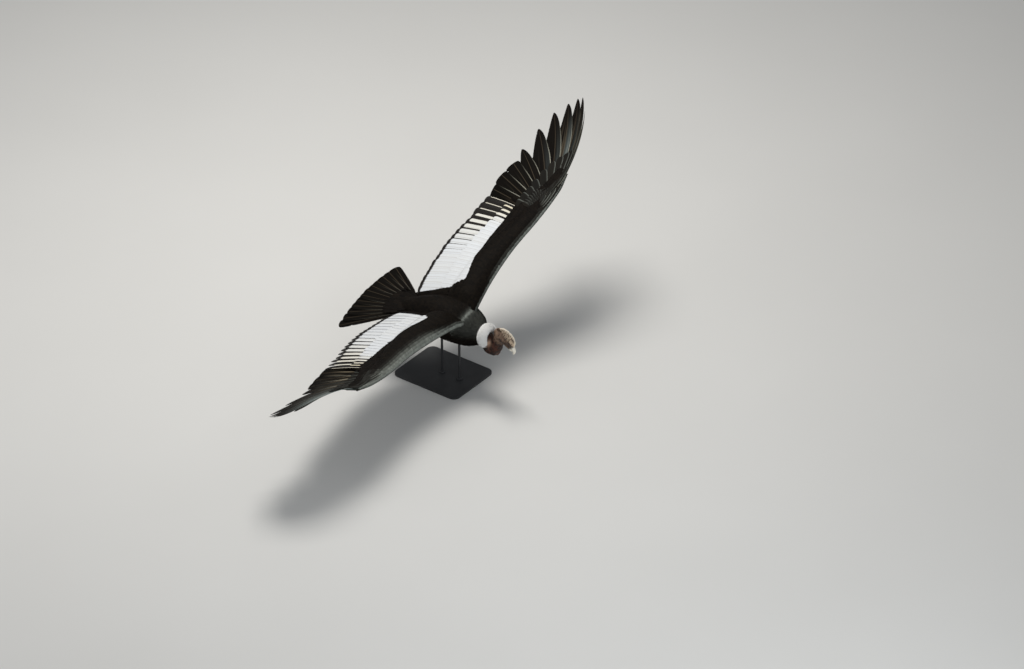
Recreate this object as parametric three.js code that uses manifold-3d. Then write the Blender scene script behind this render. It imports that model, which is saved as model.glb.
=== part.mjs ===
// An adult male Andean condor in a banked glide, life-size, held by a plain display stand.
// Millimetres, +Z up. The bird is modelled level in its own frame, +X to the bill and +Y to
// its left wing, and its group is then pitched and banked over the stand. The origin is the
// centre of the stand's underside.

import * as THREE from "three";
import { mergeVertices } from "three/addons/utils/BufferGeometryUtils.js";
import Module from "manifold-3d";

const wasm = await Module();
wasm.setup();

// Driving dimensions
const GAP = 0.34; // between touching nodes
const PITCH = THREE.MathUtils.degToRad(9.4); // nose up
const BANK = THREE.MathUtils.degToRad(10.7); // left wing up
const BIRD_AT = new THREE.Vector3(50, 0, 420); // the bird's own origin, over the stand

// The wing at stations along its span: leading and trailing edge, height and camber
const WING = [
  { y: 20, le: 116, te: -300, z: -30, camber: 22 },
  { y: 110, le: 118, te: -318, z: 14, camber: 40 },
  { y: 300, le: 115, te: -337, z: 58, camber: 44 },
  { y: 500, le: 121, te: -326, z: 106, camber: 28 },
  { y: 720, le: 158, te: -268, z: 162, camber: 16 },
  { y: 900, le: 190, te: -218, z: 226, camber: 10 },
  { y: 1060, le: 196, te: -182, z: 285, camber: 8 },
];
const WING_TWIST = 10; // how much lower the trailing edge lies
const ARM = { from: 28, to: 735, share: [0.44, 0.27], thick: [72, 30] };
const HAND = { to: 985, share: [0.27, 0.09], thick: [30, 9] };

// Flight feathers, each kind from the inmost to the outmost
const VANE = { root: 1.7, tip: 0.7, roll: 3.5, outer: 0.36 };
const SECONDARY = { count: 18, from: 126, to: 718, start: 0.2, width: 60, sweep: [5, 56] };
const GREATER = { count: 14, from: 160, to: 704, start: 0.29, end: 0.63, width: 57, lift: 5 };
const SCAPULAR = { count: 4, from: 92, step: 20, start: 0.34, width: 52, lift: 13, roll: 5 };
const PRIMARY = [
  { length: 338, turn: 15 },
  { length: 350, turn: 24 },
  { length: 358, turn: 34 },
  { length: 412, turn: 43 },
  { length: 490, turn: 53.5 },
  { length: 560, turn: 61 },
  { length: 584, turn: 66.5 },
  { length: 598, turn: 70.5 },
  { length: 574, turn: 74 },
  { length: 424, turn: 79 },
];
const PRIMARY_ROOT = { from: [88, 752], to: [162, 955] }; // x and y on the hand
const PRIMARY_RISE = { inner: 14, outer: 150, power: 0.6 }; // how far the tips flex upward
const PRIMARY_BOW = 0.065; // forward curve, as a share of the length
const PRIMARY_WIDTH = { closed: 76, fingered: 82, fingersFrom: 4 };
const PRIMARY_COVERT = { count: 7, reach: 0.34, width: 46, lift: 6.5 };
const ALULA = { count: 3, root: 768, tip: 900, width: 28, lift: 9 };

// The trunk at stations along the body: half width, centre height, half height
const TRUNK = [
  { x: 176, wide: 66, z: -96, tall: 66 },
  { x: 140, wide: 100, z: -80, tall: 86 },
  { x: 70, wide: 128, z: -56, tall: 106 },
  { x: -20, wide: 130, z: -40, tall: 108 },
  { x: -120, wide: 112, z: -30, tall: 96 },
  { x: -200, wide: 88, z: -22, tall: 74 },
  { x: -262, wide: 66, z: -16, tall: 50 },
];

// The tail: a fan of feathers about an apex, rooted in the wedge of their coverts
const TAIL = { apex: -120, half: 33, middle: 480, corner: 524, droop: 22 };
const RECTRIX = { count: 12, root: [-268, 46], width: 64, lie: -14 };
const TAIL_COVERT = { count: 6, root: [-272, 52], reach: 315, width: 64, lift: 7 };
const WEDGE = [
  { x: -262.3, wide: 66, z: -16, tall: 50 },
  { x: -300, wide: 78, z: -17, tall: 34 },
  { x: -345, wide: 92, z: -18, tall: 19 },
  { x: -385, wide: 100, z: -17, tall: 9 },
  { x: -415, wide: 98, z: -15, tall: 3 },
];

// Stand
const BASE = { long: 440, wide: 360, thick: 12, corner: 40 };
const ROD = { radius: 7, foot: 18, footHigh: 8, fit: 0.3 };
const ROD_X = { front: 112, rear: -8 };

const V = (x, y, z) => new THREE.Vector3(x, y, z);
const lerp = THREE.MathUtils.lerp;
const clamp01 = (t) => Math.min(1, Math.max(0, t));

// Value of one column of a station table at a place along it, by a smooth cubic.
function along(table, by, key, at) {
  const rising = table[1][by] > table[0][by];
  const rows = rising ? table : [...table].reverse();
  const last = rows.length - 1;
  const slope = (i) => {
    const a = rows[Math.max(0, i - 1)];
    const b = rows[Math.min(last, i + 1)];
    return (b[key] - a[key]) / (b[by] - a[by]);
  };
  if (at <= rows[0][by]) return rows[0][key] + slope(0) * (at - rows[0][by]);
  if (at >= rows[last][by]) return rows[last][key] + slope(last) * (at - rows[last][by]);
  const i = rows.findIndex((row, n) => n < last && at <= rows[n + 1][by]);
  const span = rows[i + 1][by] - rows[i][by];
  const t = (at - rows[i][by]) / span;
  const [p, q] = [rows[i][key], rows[i + 1][key]];
  const [m, n] = [slope(i) * span, slope(i + 1) * span];
  return (
    p * (2 * t ** 3 - 3 * t ** 2 + 1) +
    m * (t ** 3 - 2 * t ** 2 + t) +
    q * (-2 * t ** 3 + 3 * t ** 2) +
    n * (t ** 3 - t ** 2)
  );
}

// A closed solid from rings of points, each ring wound the same way, capped at both ends.
function loft(rings) {
  const count = rings[0].length;
  const points = rings.flat();
  const faces = [];
  for (let r = 0; r < rings.length - 1; r++)
    for (let k = 0; k < count; k++) {
      const a = r * count + k;
      const b = r * count + ((k + 1) % count);
      faces.push([a, b, b + count], [a, b + count, a + count]);
    }
  for (const [r, flip] of [
    [0, true],
    [rings.length - 1, false],
  ]) {
    const centre = rings[r].reduce((sum, p) => sum.add(p), V(0, 0, 0)).divideScalar(count);
    const c = points.push(centre) - 1;
    for (let k = 0; k < count; k++) {
      const a = r * count + k;
      const b = r * count + ((k + 1) % count);
      faces.push(flip ? [c, b, a] : [c, a, b]);
    }
  }
  return solidFrom(points, faces);
}

// A manifold solid from points and triangles, turned the right way out.
function solidFrom(points, faces) {
  const build = (turned) => {
    const geometry = new THREE.BufferGeometry().setFromPoints(points);
    geometry.setIndex(faces.flatMap(([a, b, c]) => (turned ? [a, c, b] : [a, b, c])));
    return solidOf(geometry);
  };
  const made = build(false);
  return made.volume() < 0 ? build(true) : made;
}

// A three.js geometry as a manifold solid.
function solidOf(geometry) {
  const bare = geometry.clone();
  bare.deleteAttribute("normal");
  bare.deleteAttribute("uv");
  const merged = mergeVertices(bare, 1e-3);
  return new wasm.Manifold(
    new wasm.Mesh({
      numProp: 3,
      vertProperties: merged.attributes.position.array,
      triVerts: new Uint32Array(merged.index.array),
    }),
  );
}

// The largest closed surface of a solid, as a geometry.
function geometryOf(solid) {
  const whole = solid.decompose().sort((a, b) => b.volume() - a.volume())[0];
  const { numProp, numVert, vertProperties, triVerts } = whole.getMesh();
  const place = new Float32Array(numVert * 3);
  for (let i = 0; i < numVert; i++)
    place.set(vertProperties.subarray(i * numProp, i * numProp + 3), i * 3);
  return new THREE.BufferGeometry()
    .setAttribute("position", new THREE.BufferAttribute(place, 3))
    .setIndex(new THREE.BufferAttribute(triVerts, 1));
}

const mirrored = (solid) => solid.mirror([0, 1, 0]);
const joined = (solids) => solids.reduce((whole, one) => whole.add(one));

// A point of the wing's middle surface: y along the span, t from leading to trailing edge.
function wingPoint(y, t, lift = 0) {
  const le = along(WING, "y", "le", y);
  const te = along(WING, "y", "te", y);
  const camber = along(WING, "y", "camber", y) * Math.sin(Math.PI * t ** 0.7);
  return V(lerp(le, te, t), y, along(WING, "y", "z", y) - WING_TWIST * t + camber + lift);
}

// One closed section of the fleshy wing, from the leading edge back to a share of the chord.
function fleshRing(y, share, thick, sides = 6) {
  const upper = [wingPoint(y, 0)];
  const lower = [];
  for (let k = 1; k <= sides; k++) {
    const u = 0.5 - 0.5 * Math.cos((Math.PI * k) / sides);
    const half = (thick / 2) * Math.max(2.13 * u ** 0.5 * (1 - u) ** 0.6, 0.05);
    upper.push(wingPoint(y, u * share, half));
    lower.push(wingPoint(y, u * share, -half));
  }
  return [...upper, ...lower.reverse()];
}
const armAlong = (y) => clamp01((y - 110) / (ARM.to - 110));
const handAlong = (y) => clamp01((y - ARM.to) / (HAND.to - ARM.to));
const armFlesh = (y) => ({
  share: lerp(...ARM.share, armAlong(y)),
  thick: lerp(...ARM.thick, armAlong(y) ** 0.7),
});
const handFlesh = (y) => ({
  share: lerp(...HAND.share, handAlong(y)),
  thick: lerp(...HAND.thick, handAlong(y)),
});

function spanLoft(from, to, steps, flesh) {
  const rings = [];
  for (let k = 0; k <= steps; k++) {
    const y = lerp(from, to, k / steps);
    const { share, thick } = flesh(y);
    rings.push(fleshRing(y, share, thick));
  }
  return loft(rings);
}

// A body lofted through upright oval sections, grown by extra all round when it cuts others.
function ovalLoft(table, steps, sides, extra = 0, ripple = () => 1) {
  const [first, last] = [table[0].x, table[table.length - 1].x];
  const rings = [];
  for (let k = 0; k <= steps; k++) {
    const x = lerp(first, last, k / steps);
    const wide = along(table, "x", "wide", x) + extra;
    const tall = along(table, "x", "tall", x) * ripple(k) + extra;
    const z = along(table, "x", "z", x);
    const shift = k === 0 ? extra : k === steps ? -extra : 0;
    rings.push(
      Array.from({ length: sides }, (_, n) => {
        const a = (2 * Math.PI * n) / sides;
        return V(x + shift, wide * Math.cos(a), z + tall * Math.sin(a));
      }),
    );
  }
  return loft(rings);
}
const trunkSolid = (extra = 0) => ovalLoft(TRUNK, 15, 22, extra);

// A round tube through stations of [x, y, z, radius], capped flat at both ends.
function tube(stations, sides = 14, extra = 0) {
  const rings = stations.map(([x, y, z, r], k) => {
    const a = stations[Math.max(0, k - 1)];
    const b = stations[Math.min(stations.length - 1, k + 1)];
    const ahead = V(b[0] - a[0], b[1] - a[1], b[2] - a[2]).normalize();
    const side = V(0, 1, 0).addScaledVector(ahead, -ahead.y).normalize();
    const up = ahead.clone().cross(side);
    const end = k === 0 ? -extra : k === stations.length - 1 ? extra : 0;
    return Array.from({ length: sides }, (_, n) => {
      const t = (2 * Math.PI * n) / sides;
      return V(x, y, z)
        .addScaledVector(ahead, end)
        .addScaledVector(side, (r + extra) * Math.cos(t))
        .addScaledVector(up, (r + extra) * Math.sin(t));
    });
  });
  return loft(rings);
}

// A thin solid between two grids of points, split into triangles alike on both faces.
function sheet(top, bottom) {
  const rows = top.length;
  const columns = top[0].length;
  const under = rows * columns;
  const at = (r, c) => r * columns + c;
  const faces = [];
  for (let r = 0; r < rows - 1; r++)
    for (let c = 0; c < columns - 1; c++)
      for (const [a, b, d] of [
        [at(r, c), at(r, c + 1), at(r + 1, c + 1)],
        [at(r, c), at(r + 1, c + 1), at(r + 1, c)],
      ])
        faces.push([a, b, d], [a + under, d + under, b + under]);
  const wall = (a, b) => faces.push([b, a, a + under], [b, a + under, b + under]);
  for (let r = 0; r < rows - 1; r++) {
    wall(at(r + 1, 0), at(r, 0));
    wall(at(r, columns - 1), at(r + 1, columns - 1));
  }
  for (let c = 0; c < columns - 1; c++) {
    wall(at(0, c), at(0, c + 1));
    wall(at(rows - 1, c + 1), at(rows - 1, c));
  }
  return solidFrom([...top.flat(), ...bottom.flat()], faces);
}

// Outlines of feathers: place along the length, and the outer and inner web's share of the width
const OUTLINES = {
  broad: [
    [0, 0.15, 0.15],
    [0.3, 0.75, 0.75],
    [0.7, 1, 1],
    [0.93, 0.8, 0.85],
    [1, 0.3, 0.3],
  ],
  covert: [
    [0, 0.4, 0.4],
    [0.5, 1, 1],
    [0.88, 0.85, 0.85],
    [1, 0.3, 0.3],
  ],
  pointed: [
    [0, 0.12, 0.12],
    [0.16, 0.55, 0.55],
    [0.45, 1, 1],
    [0.82, 0.85, 0.9],
    [0.95, 0.5, 0.6],
    [1, 0.15, 0.2],
  ],
  fingered: [
    [0, 0.12, 0.12],
    [0.2, 0.8, 0.75],
    [0.44, 1, 1],
    [0.56, 0.9, 0.72],
    [0.9, 0.65, 0.55],
    [1, 0.16, 0.16],
  ],
};

// One feather along line(s), with its outer web towards across(s). The roll lifts the outer edge,
// so that each feather lies over the next one out. A ridge is the shaft standing proud of the vane.
function feather({ line, across, width, outline, roll = VANE.roll, ridge = 0 }) {
  const top = [];
  const bottom = [];
  const tilt = THREE.MathUtils.degToRad(roll);
  for (const [s, outerShare, innerShare] of OUTLINES[outline]) {
    const at = line(s);
    const ahead = line(s + 0.01).sub(line(s - 0.01)).normalize();
    const level = across(s).addScaledVector(ahead, -across(s).dot(ahead)).normalize();
    const normal = ahead.clone().cross(level);
    if (normal.z < 0) normal.negate();
    const side = level.clone().multiplyScalar(Math.cos(tilt)).addScaledVector(normal, Math.sin(tilt));
    const up = normal.clone().multiplyScalar(Math.cos(tilt)).addScaledVector(level, -Math.sin(tilt));
    const half = lerp(VANE.root, VANE.tip, s) / 2;
    const outer = at.clone().addScaledVector(side, width * VANE.outer * outerShare);
    const inner = at.clone().addScaledVector(side, -width * (1 - VANE.outer) * innerShare);
    const proud = ridge * (1 - s);
    const row = ridge ? [outer, at, inner] : [outer, inner];
    const lifts = ridge ? [0, proud, 0] : [0, 0];
    top.push(row.map((p, c) => p.clone().addScaledVector(up, half + lifts[c])));
    bottom.push(row.map((p, c) => p.clone().addScaledVector(up, -half - lifts[c] / 2)));
  }
  return sheet(top, bottom);
}

const alongSpan = (y, t) => wingPoint(y + 5, t).sub(wingPoint(y - 5, t));
const evenly = (count, make) => Array.from({ length: count }, (_, i) => make(i, i / (count - 1)));

// A feather on the inner wing, from one place on its middle surface to another.
function wingFeather(from, to, rest) {
  const place = (s) => [lerp(from.y, to.y, s), lerp(from.t, to.t, s)];
  const lift = (s) => lerp(from.lift ?? 0, to.lift ?? 0, s);
  return feather({
    line: (s) => wingPoint(...place(s), lift(s)),
    across: (s) => alongSpan(...place(s)),
    ...rest,
  });
}

function secondary(i, share) {
  const y = lerp(SECONDARY.from, SECONDARY.to, share);
  const sweep = lerp(...SECONDARY.sweep, share ** 2);
  return wingFeather(
    { y, t: SECONDARY.start },
    { y: y + sweep, t: i % 2 ? 1 : 0.99 },
    { width: SECONDARY.width, outline: "broad" },
  );
}

function greaterCovert(i, share) {
  const y = lerp(GREATER.from, GREATER.to, share);
  return wingFeather(
    { y, t: GREATER.start, lift: GREATER.lift },
    { y: y + lerp(4, 22, share), t: GREATER.end - 0.03 * (i % 2), lift: GREATER.lift },
    { width: GREATER.width, outline: "covert" },
  );
}

function scapular(i, share) {
  const y = SCAPULAR.from + SCAPULAR.step * i;
  return wingFeather(
    { y, t: SCAPULAR.start, lift: SCAPULAR.lift },
    { y: y + 10, t: lerp(0.9, 0.6, share), lift: SCAPULAR.lift - 3 },
    { width: SCAPULAR.width, outline: "covert", roll: SCAPULAR.roll },
  );
}

// Place of a point on the shaft of primary i, which may be a fraction between two of them.
function primaryPoint(i, s) {
  const last = PRIMARY.length - 1;
  const low = Math.min(last - 1, Math.max(0, Math.floor(i)));
  const value = (key) => lerp(PRIMARY[low][key], PRIMARY[low + 1][key], i - low);
  const share = i / last;
  const x = lerp(PRIMARY_ROOT.from[0], PRIMARY_ROOT.to[0], share);
  const y = lerp(PRIMARY_ROOT.from[1], PRIMARY_ROOT.to[1], share);
  const chord = along(WING, "y", "le", y) - along(WING, "y", "te", y);
  const root = wingPoint(y, (along(WING, "y", "le", y) - x) / chord);
  const turn = THREE.MathUtils.degToRad(value("turn"));
  const ahead = V(-Math.cos(turn), Math.sin(turn), 0);
  const forward = V(Math.sin(turn), Math.cos(turn), 0);
  const rise = lerp(PRIMARY_RISE.inner, PRIMARY_RISE.outer, clamp01(share) ** PRIMARY_RISE.power);
  return root
    .addScaledVector(ahead, value("length") * s)
    .addScaledVector(forward, 4 * PRIMARY_BOW * value("length") * s * (1 - s) * share)
    .add(V(0, 0, rise * s));
}
const acrossPrimaries = (i, s) => {
  const last = PRIMARY.length - 1;
  return primaryPoint(Math.min(last, i + 0.5), s).sub(primaryPoint(Math.max(0, i - 0.5), s));
};

function primary(i) {
  const fingered = i >= PRIMARY_WIDTH.fingersFrom;
  return feather({
    line: (s) => primaryPoint(i, s),
    across: (s) => acrossPrimaries(i, s),
    width: fingered ? PRIMARY_WIDTH.fingered : PRIMARY_WIDTH.closed,
    outline: fingered ? "fingered" : "pointed",
    ridge: fingered ? 1 : 0,
  });
}

function primaryCovert(i) {
  const at = 0.5 + 1.3 * i;
  const lift = V(0, 0, PRIMARY_COVERT.lift);
  return feather({
    line: (s) => primaryPoint(at, 0.02 + s * PRIMARY_COVERT.reach).add(lift),
    across: (s) => acrossPrimaries(at, s * PRIMARY_COVERT.reach),
    width: PRIMARY_COVERT.width,
    outline: "covert",
  });
}

function alula(i) {
  return feather({
    line: (s) => wingPoint(lerp(ALULA.root + 8 * i, ALULA.tip - 26 * i, s), 0.05 + 0.03 * i, ALULA.lift),
    across: () => V(1, 0, 0),
    width: ALULA.width,
    outline: "covert",
  });
}

// A feather of the tail fan: u runs from -1 at the right corner to 1 at the left.
function fanFeather(u, root, reach, lift, width, outline) {
  const edge = (VANE.outer * width) / TAIL.corner;
  const angle = u * (THREE.MathUtils.degToRad(TAIL.half) - edge);
  const tip = V(TAIL.apex - reach * Math.cos(angle), reach * Math.sin(angle), 0);
  const start = V(root[0], root[1] * u, 0);
  const full = lerp(TAIL.middle, TAIL.corner, u * u);
  const line = (s) => {
    const at = start.clone().lerp(tip, s);
    const away = Math.hypot(at.x - TAIL.apex, at.y) / full;
    at.z = lerp(RECTRIX.lie, -TAIL.droop * u * u, clamp01(away)) + lift;
    return at;
  };
  const side = u < 0 ? -1 : 1;
  const roll = Math.abs(u) < 0.12 ? 0.5 : VANE.roll;
  return feather({ line, across: () => V(0, side, -0.08 * side * u), width, outline, roll });
}

function rectrix(i, share) {
  const u = 2 * share - 1;
  const reach = lerp(TAIL.middle, TAIL.corner, u * u);
  const central = Math.abs(u) < 0.12;
  const lift = central && u > 0 ? 3.2 : central ? 1.2 : 0;
  return fanFeather(u, RECTRIX.root, reach, lift, RECTRIX.width, "broad");
}

function tailCovert(i, share) {
  const u = 2 * share - 1;
  const reach = TAIL_COVERT.reach - 22 * u * u + 10 * (i % 2);
  return fanFeather(0.8 * u, TAIL_COVERT.root, reach, TAIL_COVERT.lift, TAIL_COVERT.width, "covert");
}

// The head's own frame: origin between the eyes, +X to the bill, +Z to the crown.
const HEAD = { at: [317, 0, -88], pitch: 46, turn: 6, size: 1.13 };
const headFrame = new THREE.Matrix4()
  .makeTranslation(...HEAD.at)
  .multiply(new THREE.Matrix4().makeRotationZ(-THREE.MathUtils.degToRad(HEAD.turn)))
  .multiply(new THREE.Matrix4().makeRotationY(THREE.MathUtils.degToRad(HEAD.pitch)))
  .multiply(new THREE.Matrix4().makeScale(HEAD.size, HEAD.size, HEAD.size));
const onHead = (solid) => solid.transform(headFrame.elements);

// Rings across the X axis, from stations { x, z, wide, tall }, leaning with the line they follow.
function headLoft(stations, sides, extra = 0) {
  const rings = stations.map((s, k) => {
    const a = stations[Math.max(0, k - 1)];
    const b = stations[Math.min(stations.length - 1, k + 1)];
    const ahead = V(b.x - a.x, 0, b.z - a.z).normalize();
    const up = V(-ahead.z, 0, ahead.x);
    const end = k === 0 ? -extra : k === stations.length - 1 ? extra : 0;
    return Array.from({ length: sides }, (_, n) => {
      const t = (2 * Math.PI * n) / sides;
      return V(s.x, 0, s.z)
        .addScaledVector(ahead, end)
        .addScaledVector(V(0, 1, 0), (s.wide + extra) * Math.cos(t))
        .addScaledVector(up, (s.tall + extra) * Math.sin(t));
    });
  });
  return loft(rings);
}

function ball(x, y, z, radius, stretch = [1, 1, 1], detail = 12) {
  const geometry = new THREE.SphereGeometry(radius, detail, Math.round(detail * 0.7));
  geometry.scale(...stretch).translate(x, y, z);
  return solidOf(geometry);
}

const SKULL = [
  { x: -60, z: 0, wide: 13, tall: 15 },
  { x: -50, z: 3, wide: 23, tall: 26 },
  { x: -32, z: 6, wide: 29, tall: 33 },
  { x: -10, z: 8, wide: 31, tall: 35 },
  { x: 12, z: 6, wide: 28, tall: 33 },
  { x: 32, z: 1, wide: 20, tall: 26 },
  { x: 48, z: -3, wide: 15, tall: 20 },
];
const BILL_TOP = [
  { x: 48, z: 1, wide: 13, tall: 15 },
  { x: 64, z: 1, wide: 11, tall: 13.5 },
  { x: 82, z: 0, wide: 10.5, tall: 13 },
  { x: 95, z: -6, wide: 9, tall: 11 },
  { x: 103, z: -17, wide: 6.5, tall: 8 },
  { x: 106, z: -28, wide: 3.6, tall: 4.4 },
  { x: 105, z: -36, wide: 1, tall: 1.2 },
];
const BILL_LOW = [
  { x: 48.6, z: -18.5, wide: 11.5, tall: 5.5 },
  { x: 66, z: -19, wide: 9.5, tall: 5.5 },
  { x: 82, z: -19.5, wide: 8, tall: 4.6 },
  { x: 90, z: -19.5, wide: 4.5, tall: 2.5 },
];
const COMB = [
  { x: 77, z: 13, wide: 2, tall: 2.5 },
  { x: 72, z: 22, wide: 5, tall: 13 },
  { x: 60, z: 31, wide: 6.5, tall: 22 },
  { x: 44, z: 40, wide: 7, tall: 26 },
  { x: 24, z: 48, wide: 7, tall: 23 },
  { x: 4, z: 52, wide: 6.5, tall: 18 },
  { x: -14, z: 51, wide: 6, tall: 12 },
  { x: -30, z: 45, wide: 4.5, tall: 7 },
  { x: -38, z: 40, wide: 2.5, tall: 3 },
];
const EYE = { x: 15, y: 21.5, z: 9, radius: 7.5 };
const LID = { radius: 8.1, thick: 2, proud: 4.4 };
const EAR = { x: -20, y: 33, z: 0, radius: 6 };
const MOUTH = { from: 12, to: 54, z: -13.5, fall: 5, wide: 1.3, deep: 2.6 };
const NOSTRIL = { x: 68, z: 4, long: 6, high: 2.6 };

const skull = (extra = 0) => headLoft(SKULL, 18, extra);
const billTop = (extra = 0) => headLoft(BILL_TOP, 12, extra);
const billLow = (extra = 0) => headLoft(BILL_LOW, 10, extra);

// The line of the mouth, cut a little way into the cheeks behind the bill.
function mouthCut() {
  const long = MOUTH.to - MOUTH.from;
  const slab = new THREE.BoxGeometry(long, 90, MOUTH.wide)
    .rotateY(-Math.atan2(MOUTH.fall, long))
    .translate((MOUTH.from + MOUTH.to) / 2, 0, MOUTH.z - MOUTH.fall / 2);
  return solidOf(slab).subtract(skull(-MOUTH.deep));
}

function headSolid() {
  let made = skull();
  for (const side of [-1, 1]) {
    const lid = new THREE.TorusGeometry(LID.radius, LID.thick, 5, 12)
      .rotateX(Math.PI / 2)
      .translate(EYE.x, side * (EYE.y + LID.proud), EYE.z);
    made = made.add(solidOf(lid));
    made = made.subtract(ball(EYE.x, side * EYE.y, EYE.z, EYE.radius + GAP, [1, 1, 1], 12));
    made = made.subtract(ball(EAR.x, side * EAR.y, EAR.z, EAR.radius, [0.8, 1, 1.2], 8));
  }
  return made.subtract(mouthCut());
}

// The male's comb: a rippled fleshy crest from the base of the bill to the crown.
function combSolid() {
  const ripple = (k) => 1 + 0.07 * Math.sin(2.4 * k);
  return ovalLoft(COMB, 15, 10, 0, ripple).subtract(skull(GAP)).subtract(billTop(GAP));
}

function billTopSolid() {
  const hole = new THREE.CylinderGeometry(1, 1, 60, 12)
    .scale(NOSTRIL.long, 1, NOSTRIL.high)
    .translate(NOSTRIL.x, 0, NOSTRIL.z);
  return billTop().subtract(solidOf(hole)).subtract(skull(GAP));
}

// Neck: feathered base, bare folded loop with its wattle, and the collar of white down
const NECK_BASE = [
  [150, 0, -94, 66],
  [178, 0, -101, 66],
  [200, 0, -108, 60],
];
const NECK_BARE = [
  [204, 0, -114, 38],
  [220, -3, -136, 45],
  [238, -7, -160, 48],
  [256, -9, -170, 47],
  [274, -8, -162, 42],
  [288, -4, -140, 36],
  [298, -2, -118, 30],
];
const RUFF = { at: [222, 0, -106], pitch: 10, radius: 54, deep: 13, long: 21 };
const LOCK = { around: 16, rows: [-42, 42], reach: 26, width: 22, thick: 6 };
const WATTLE = { at: [258, -9, -176], lobes: 4, radius: 18, ring: 36 };

const neckBase = (extra = 0) => tube(NECK_BASE, 22, extra);
const neckBare = (extra = 0) => tube(NECK_BARE, 18, extra);

// Loose folds hanging in a row of bulbs down the throat.
function neckBareSolid(extra = 0) {
  const [x, y, z] = WATTLE.at;
  const lobes = evenly(WATTLE.lobes, (k, share) => {
    const a = lerp(-0.6, 0.75, share) * Math.PI * 0.5;
    const radius = WATTLE.radius * (1 - 0.25 * Math.abs(share - 0.4));
    const at = [x + WATTLE.ring * Math.sin(a), y, z - WATTLE.ring * Math.cos(a)];
    return ball(...at, radius + extra, [0.8, 0.9, 1], 7);
  });
  return joined([neckBare(extra), ...lobes]);
}

const ruffFrame = new THREE.Matrix4()
  .makeTranslation(...RUFF.at)
  .multiply(new THREE.Matrix4().makeRotationY(THREE.MathUtils.degToRad(RUFF.pitch)));

function ruffCore() {
  const section = Array.from({ length: 8 }, (_, n) => {
    const a = (2 * Math.PI * (n % 7)) / 7;
    return new THREE.Vector2(RUFF.radius + RUFF.deep * Math.cos(a), RUFF.long * Math.sin(a));
  });
  return solidOf(new THREE.LatheGeometry(section, 20).rotateZ(-Math.PI / 2));
}

// One flat lock of down, from inside the core to its tip; lean tips it along the neck.
function ruffLock(around, lean) {
  const out = V(0, Math.cos(around), Math.sin(around));
  const side = V(0, -Math.sin(around), Math.cos(around));
  const tilt = THREE.MathUtils.degToRad(lean);
  const ahead = out.clone().multiplyScalar(Math.cos(tilt)).add(V(Math.sin(tilt), 0, 0));
  const up = ahead.clone().normalize().cross(side);
  const centre = out.clone().multiplyScalar(RUFF.radius).add(V(RUFF.long * 0.5 * Math.sin(tilt), 0, 0));
  const rings = [
    [0.2, 0.75, 1],
    [0.75, 1, 0.9],
    [1, 0.3, 0.3],
  ].map(([s, wide, thick]) => {
    const at = centre.clone().addScaledVector(ahead, LOCK.reach * s);
    const a = side.clone().multiplyScalar((LOCK.width * wide) / 2);
    const b = up.clone().multiplyScalar((LOCK.thick * thick) / 2);
    return [
      at.clone().add(a).add(b),
      at.clone().sub(a).add(b),
      at.clone().sub(a).sub(b),
      at.clone().add(a).sub(b),
    ];
  });
  return loft(rings);
}

function ruffSolid() {
  const locks = LOCK.rows.flatMap((lean, row) =>
    Array.from({ length: LOCK.around }, (_, k) => {
      const jitter = 0.12 * Math.sin(7 * k + 3 * row);
      return ruffLock((2 * Math.PI * (k + (row % 2) / 2 + jitter)) / LOCK.around, lean);
    }),
  );
  return joined([ruffCore(), ...locks]).transform(ruffFrame.elements);
}

// Legs, tucked back under the tail as in flight
const THIGH = [
  [-120, 58, -96, 34],
  [-170, 60, -104, 40],
  [-230, 57, -94, 31],
  [-285, 50, -74, 17],
  [-300, 49, -70, 11],
];
const SHANK = [
  [-296, 49, -70, 9],
  [-340, 47, -66, 8],
  [-392, 45, -62, 9],
  [-402, 45, -61, 11],
];
const TOES = [
  { splay: 0, length: 108, radius: 7.5 },
  { splay: -20, length: 74, radius: 6.5 },
  { splay: 20, length: 78, radius: 6.5 },
];
const TOE_ROOT = [-402, 45, -61];

const thigh = (extra = 0) => tube(THIGH, 12, extra);
const shank = (extra = 0) => tube(SHANK, 10, extra);

function footSolid() {
  const [x, y, z] = TOE_ROOT;
  const toes = TOES.map(({ splay, length, radius }) => {
    const a = THREE.MathUtils.degToRad(splay);
    const at = (share, drop, r) => [
      x - length * share * Math.cos(a),
      y + length * share * Math.sin(a),
      z - drop,
      r,
    ];
    return tube(
      [
        at(-0.05, 0, radius),
        at(0.3, -3, radius * 0.85),
        at(0.6, 0, radius * 0.95),
        at(0.85, 9, radius * 0.7),
        at(0.95, 16, radius * 0.5),
        at(1, 26, 0.8),
      ],
      7,
    );
  });
  const hind = tube(
    [
      [x + 2, y, z - 4, 5],
      [x + 8, y - 2, z - 18, 4.5],
      [x + 4, y - 2, z - 30, 3],
      [x - 4, y - 2, z - 37, 0.7],
    ],
    7,
  );
  return joined([...toes, hind, ball(x - 3, y, z, 12, [1, 1, 1], 7)]).subtract(shank(GAP));
}

// Stand, built upright and cut clear of the tilted bird
const bird = new THREE.Group();
bird.position.copy(BIRD_AT);
bird.rotation.order = "ZYX";
bird.rotation.set(BANK, -PITCH, 0);
bird.updateMatrix();
const intoBird = bird.matrix.clone().invert();

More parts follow.
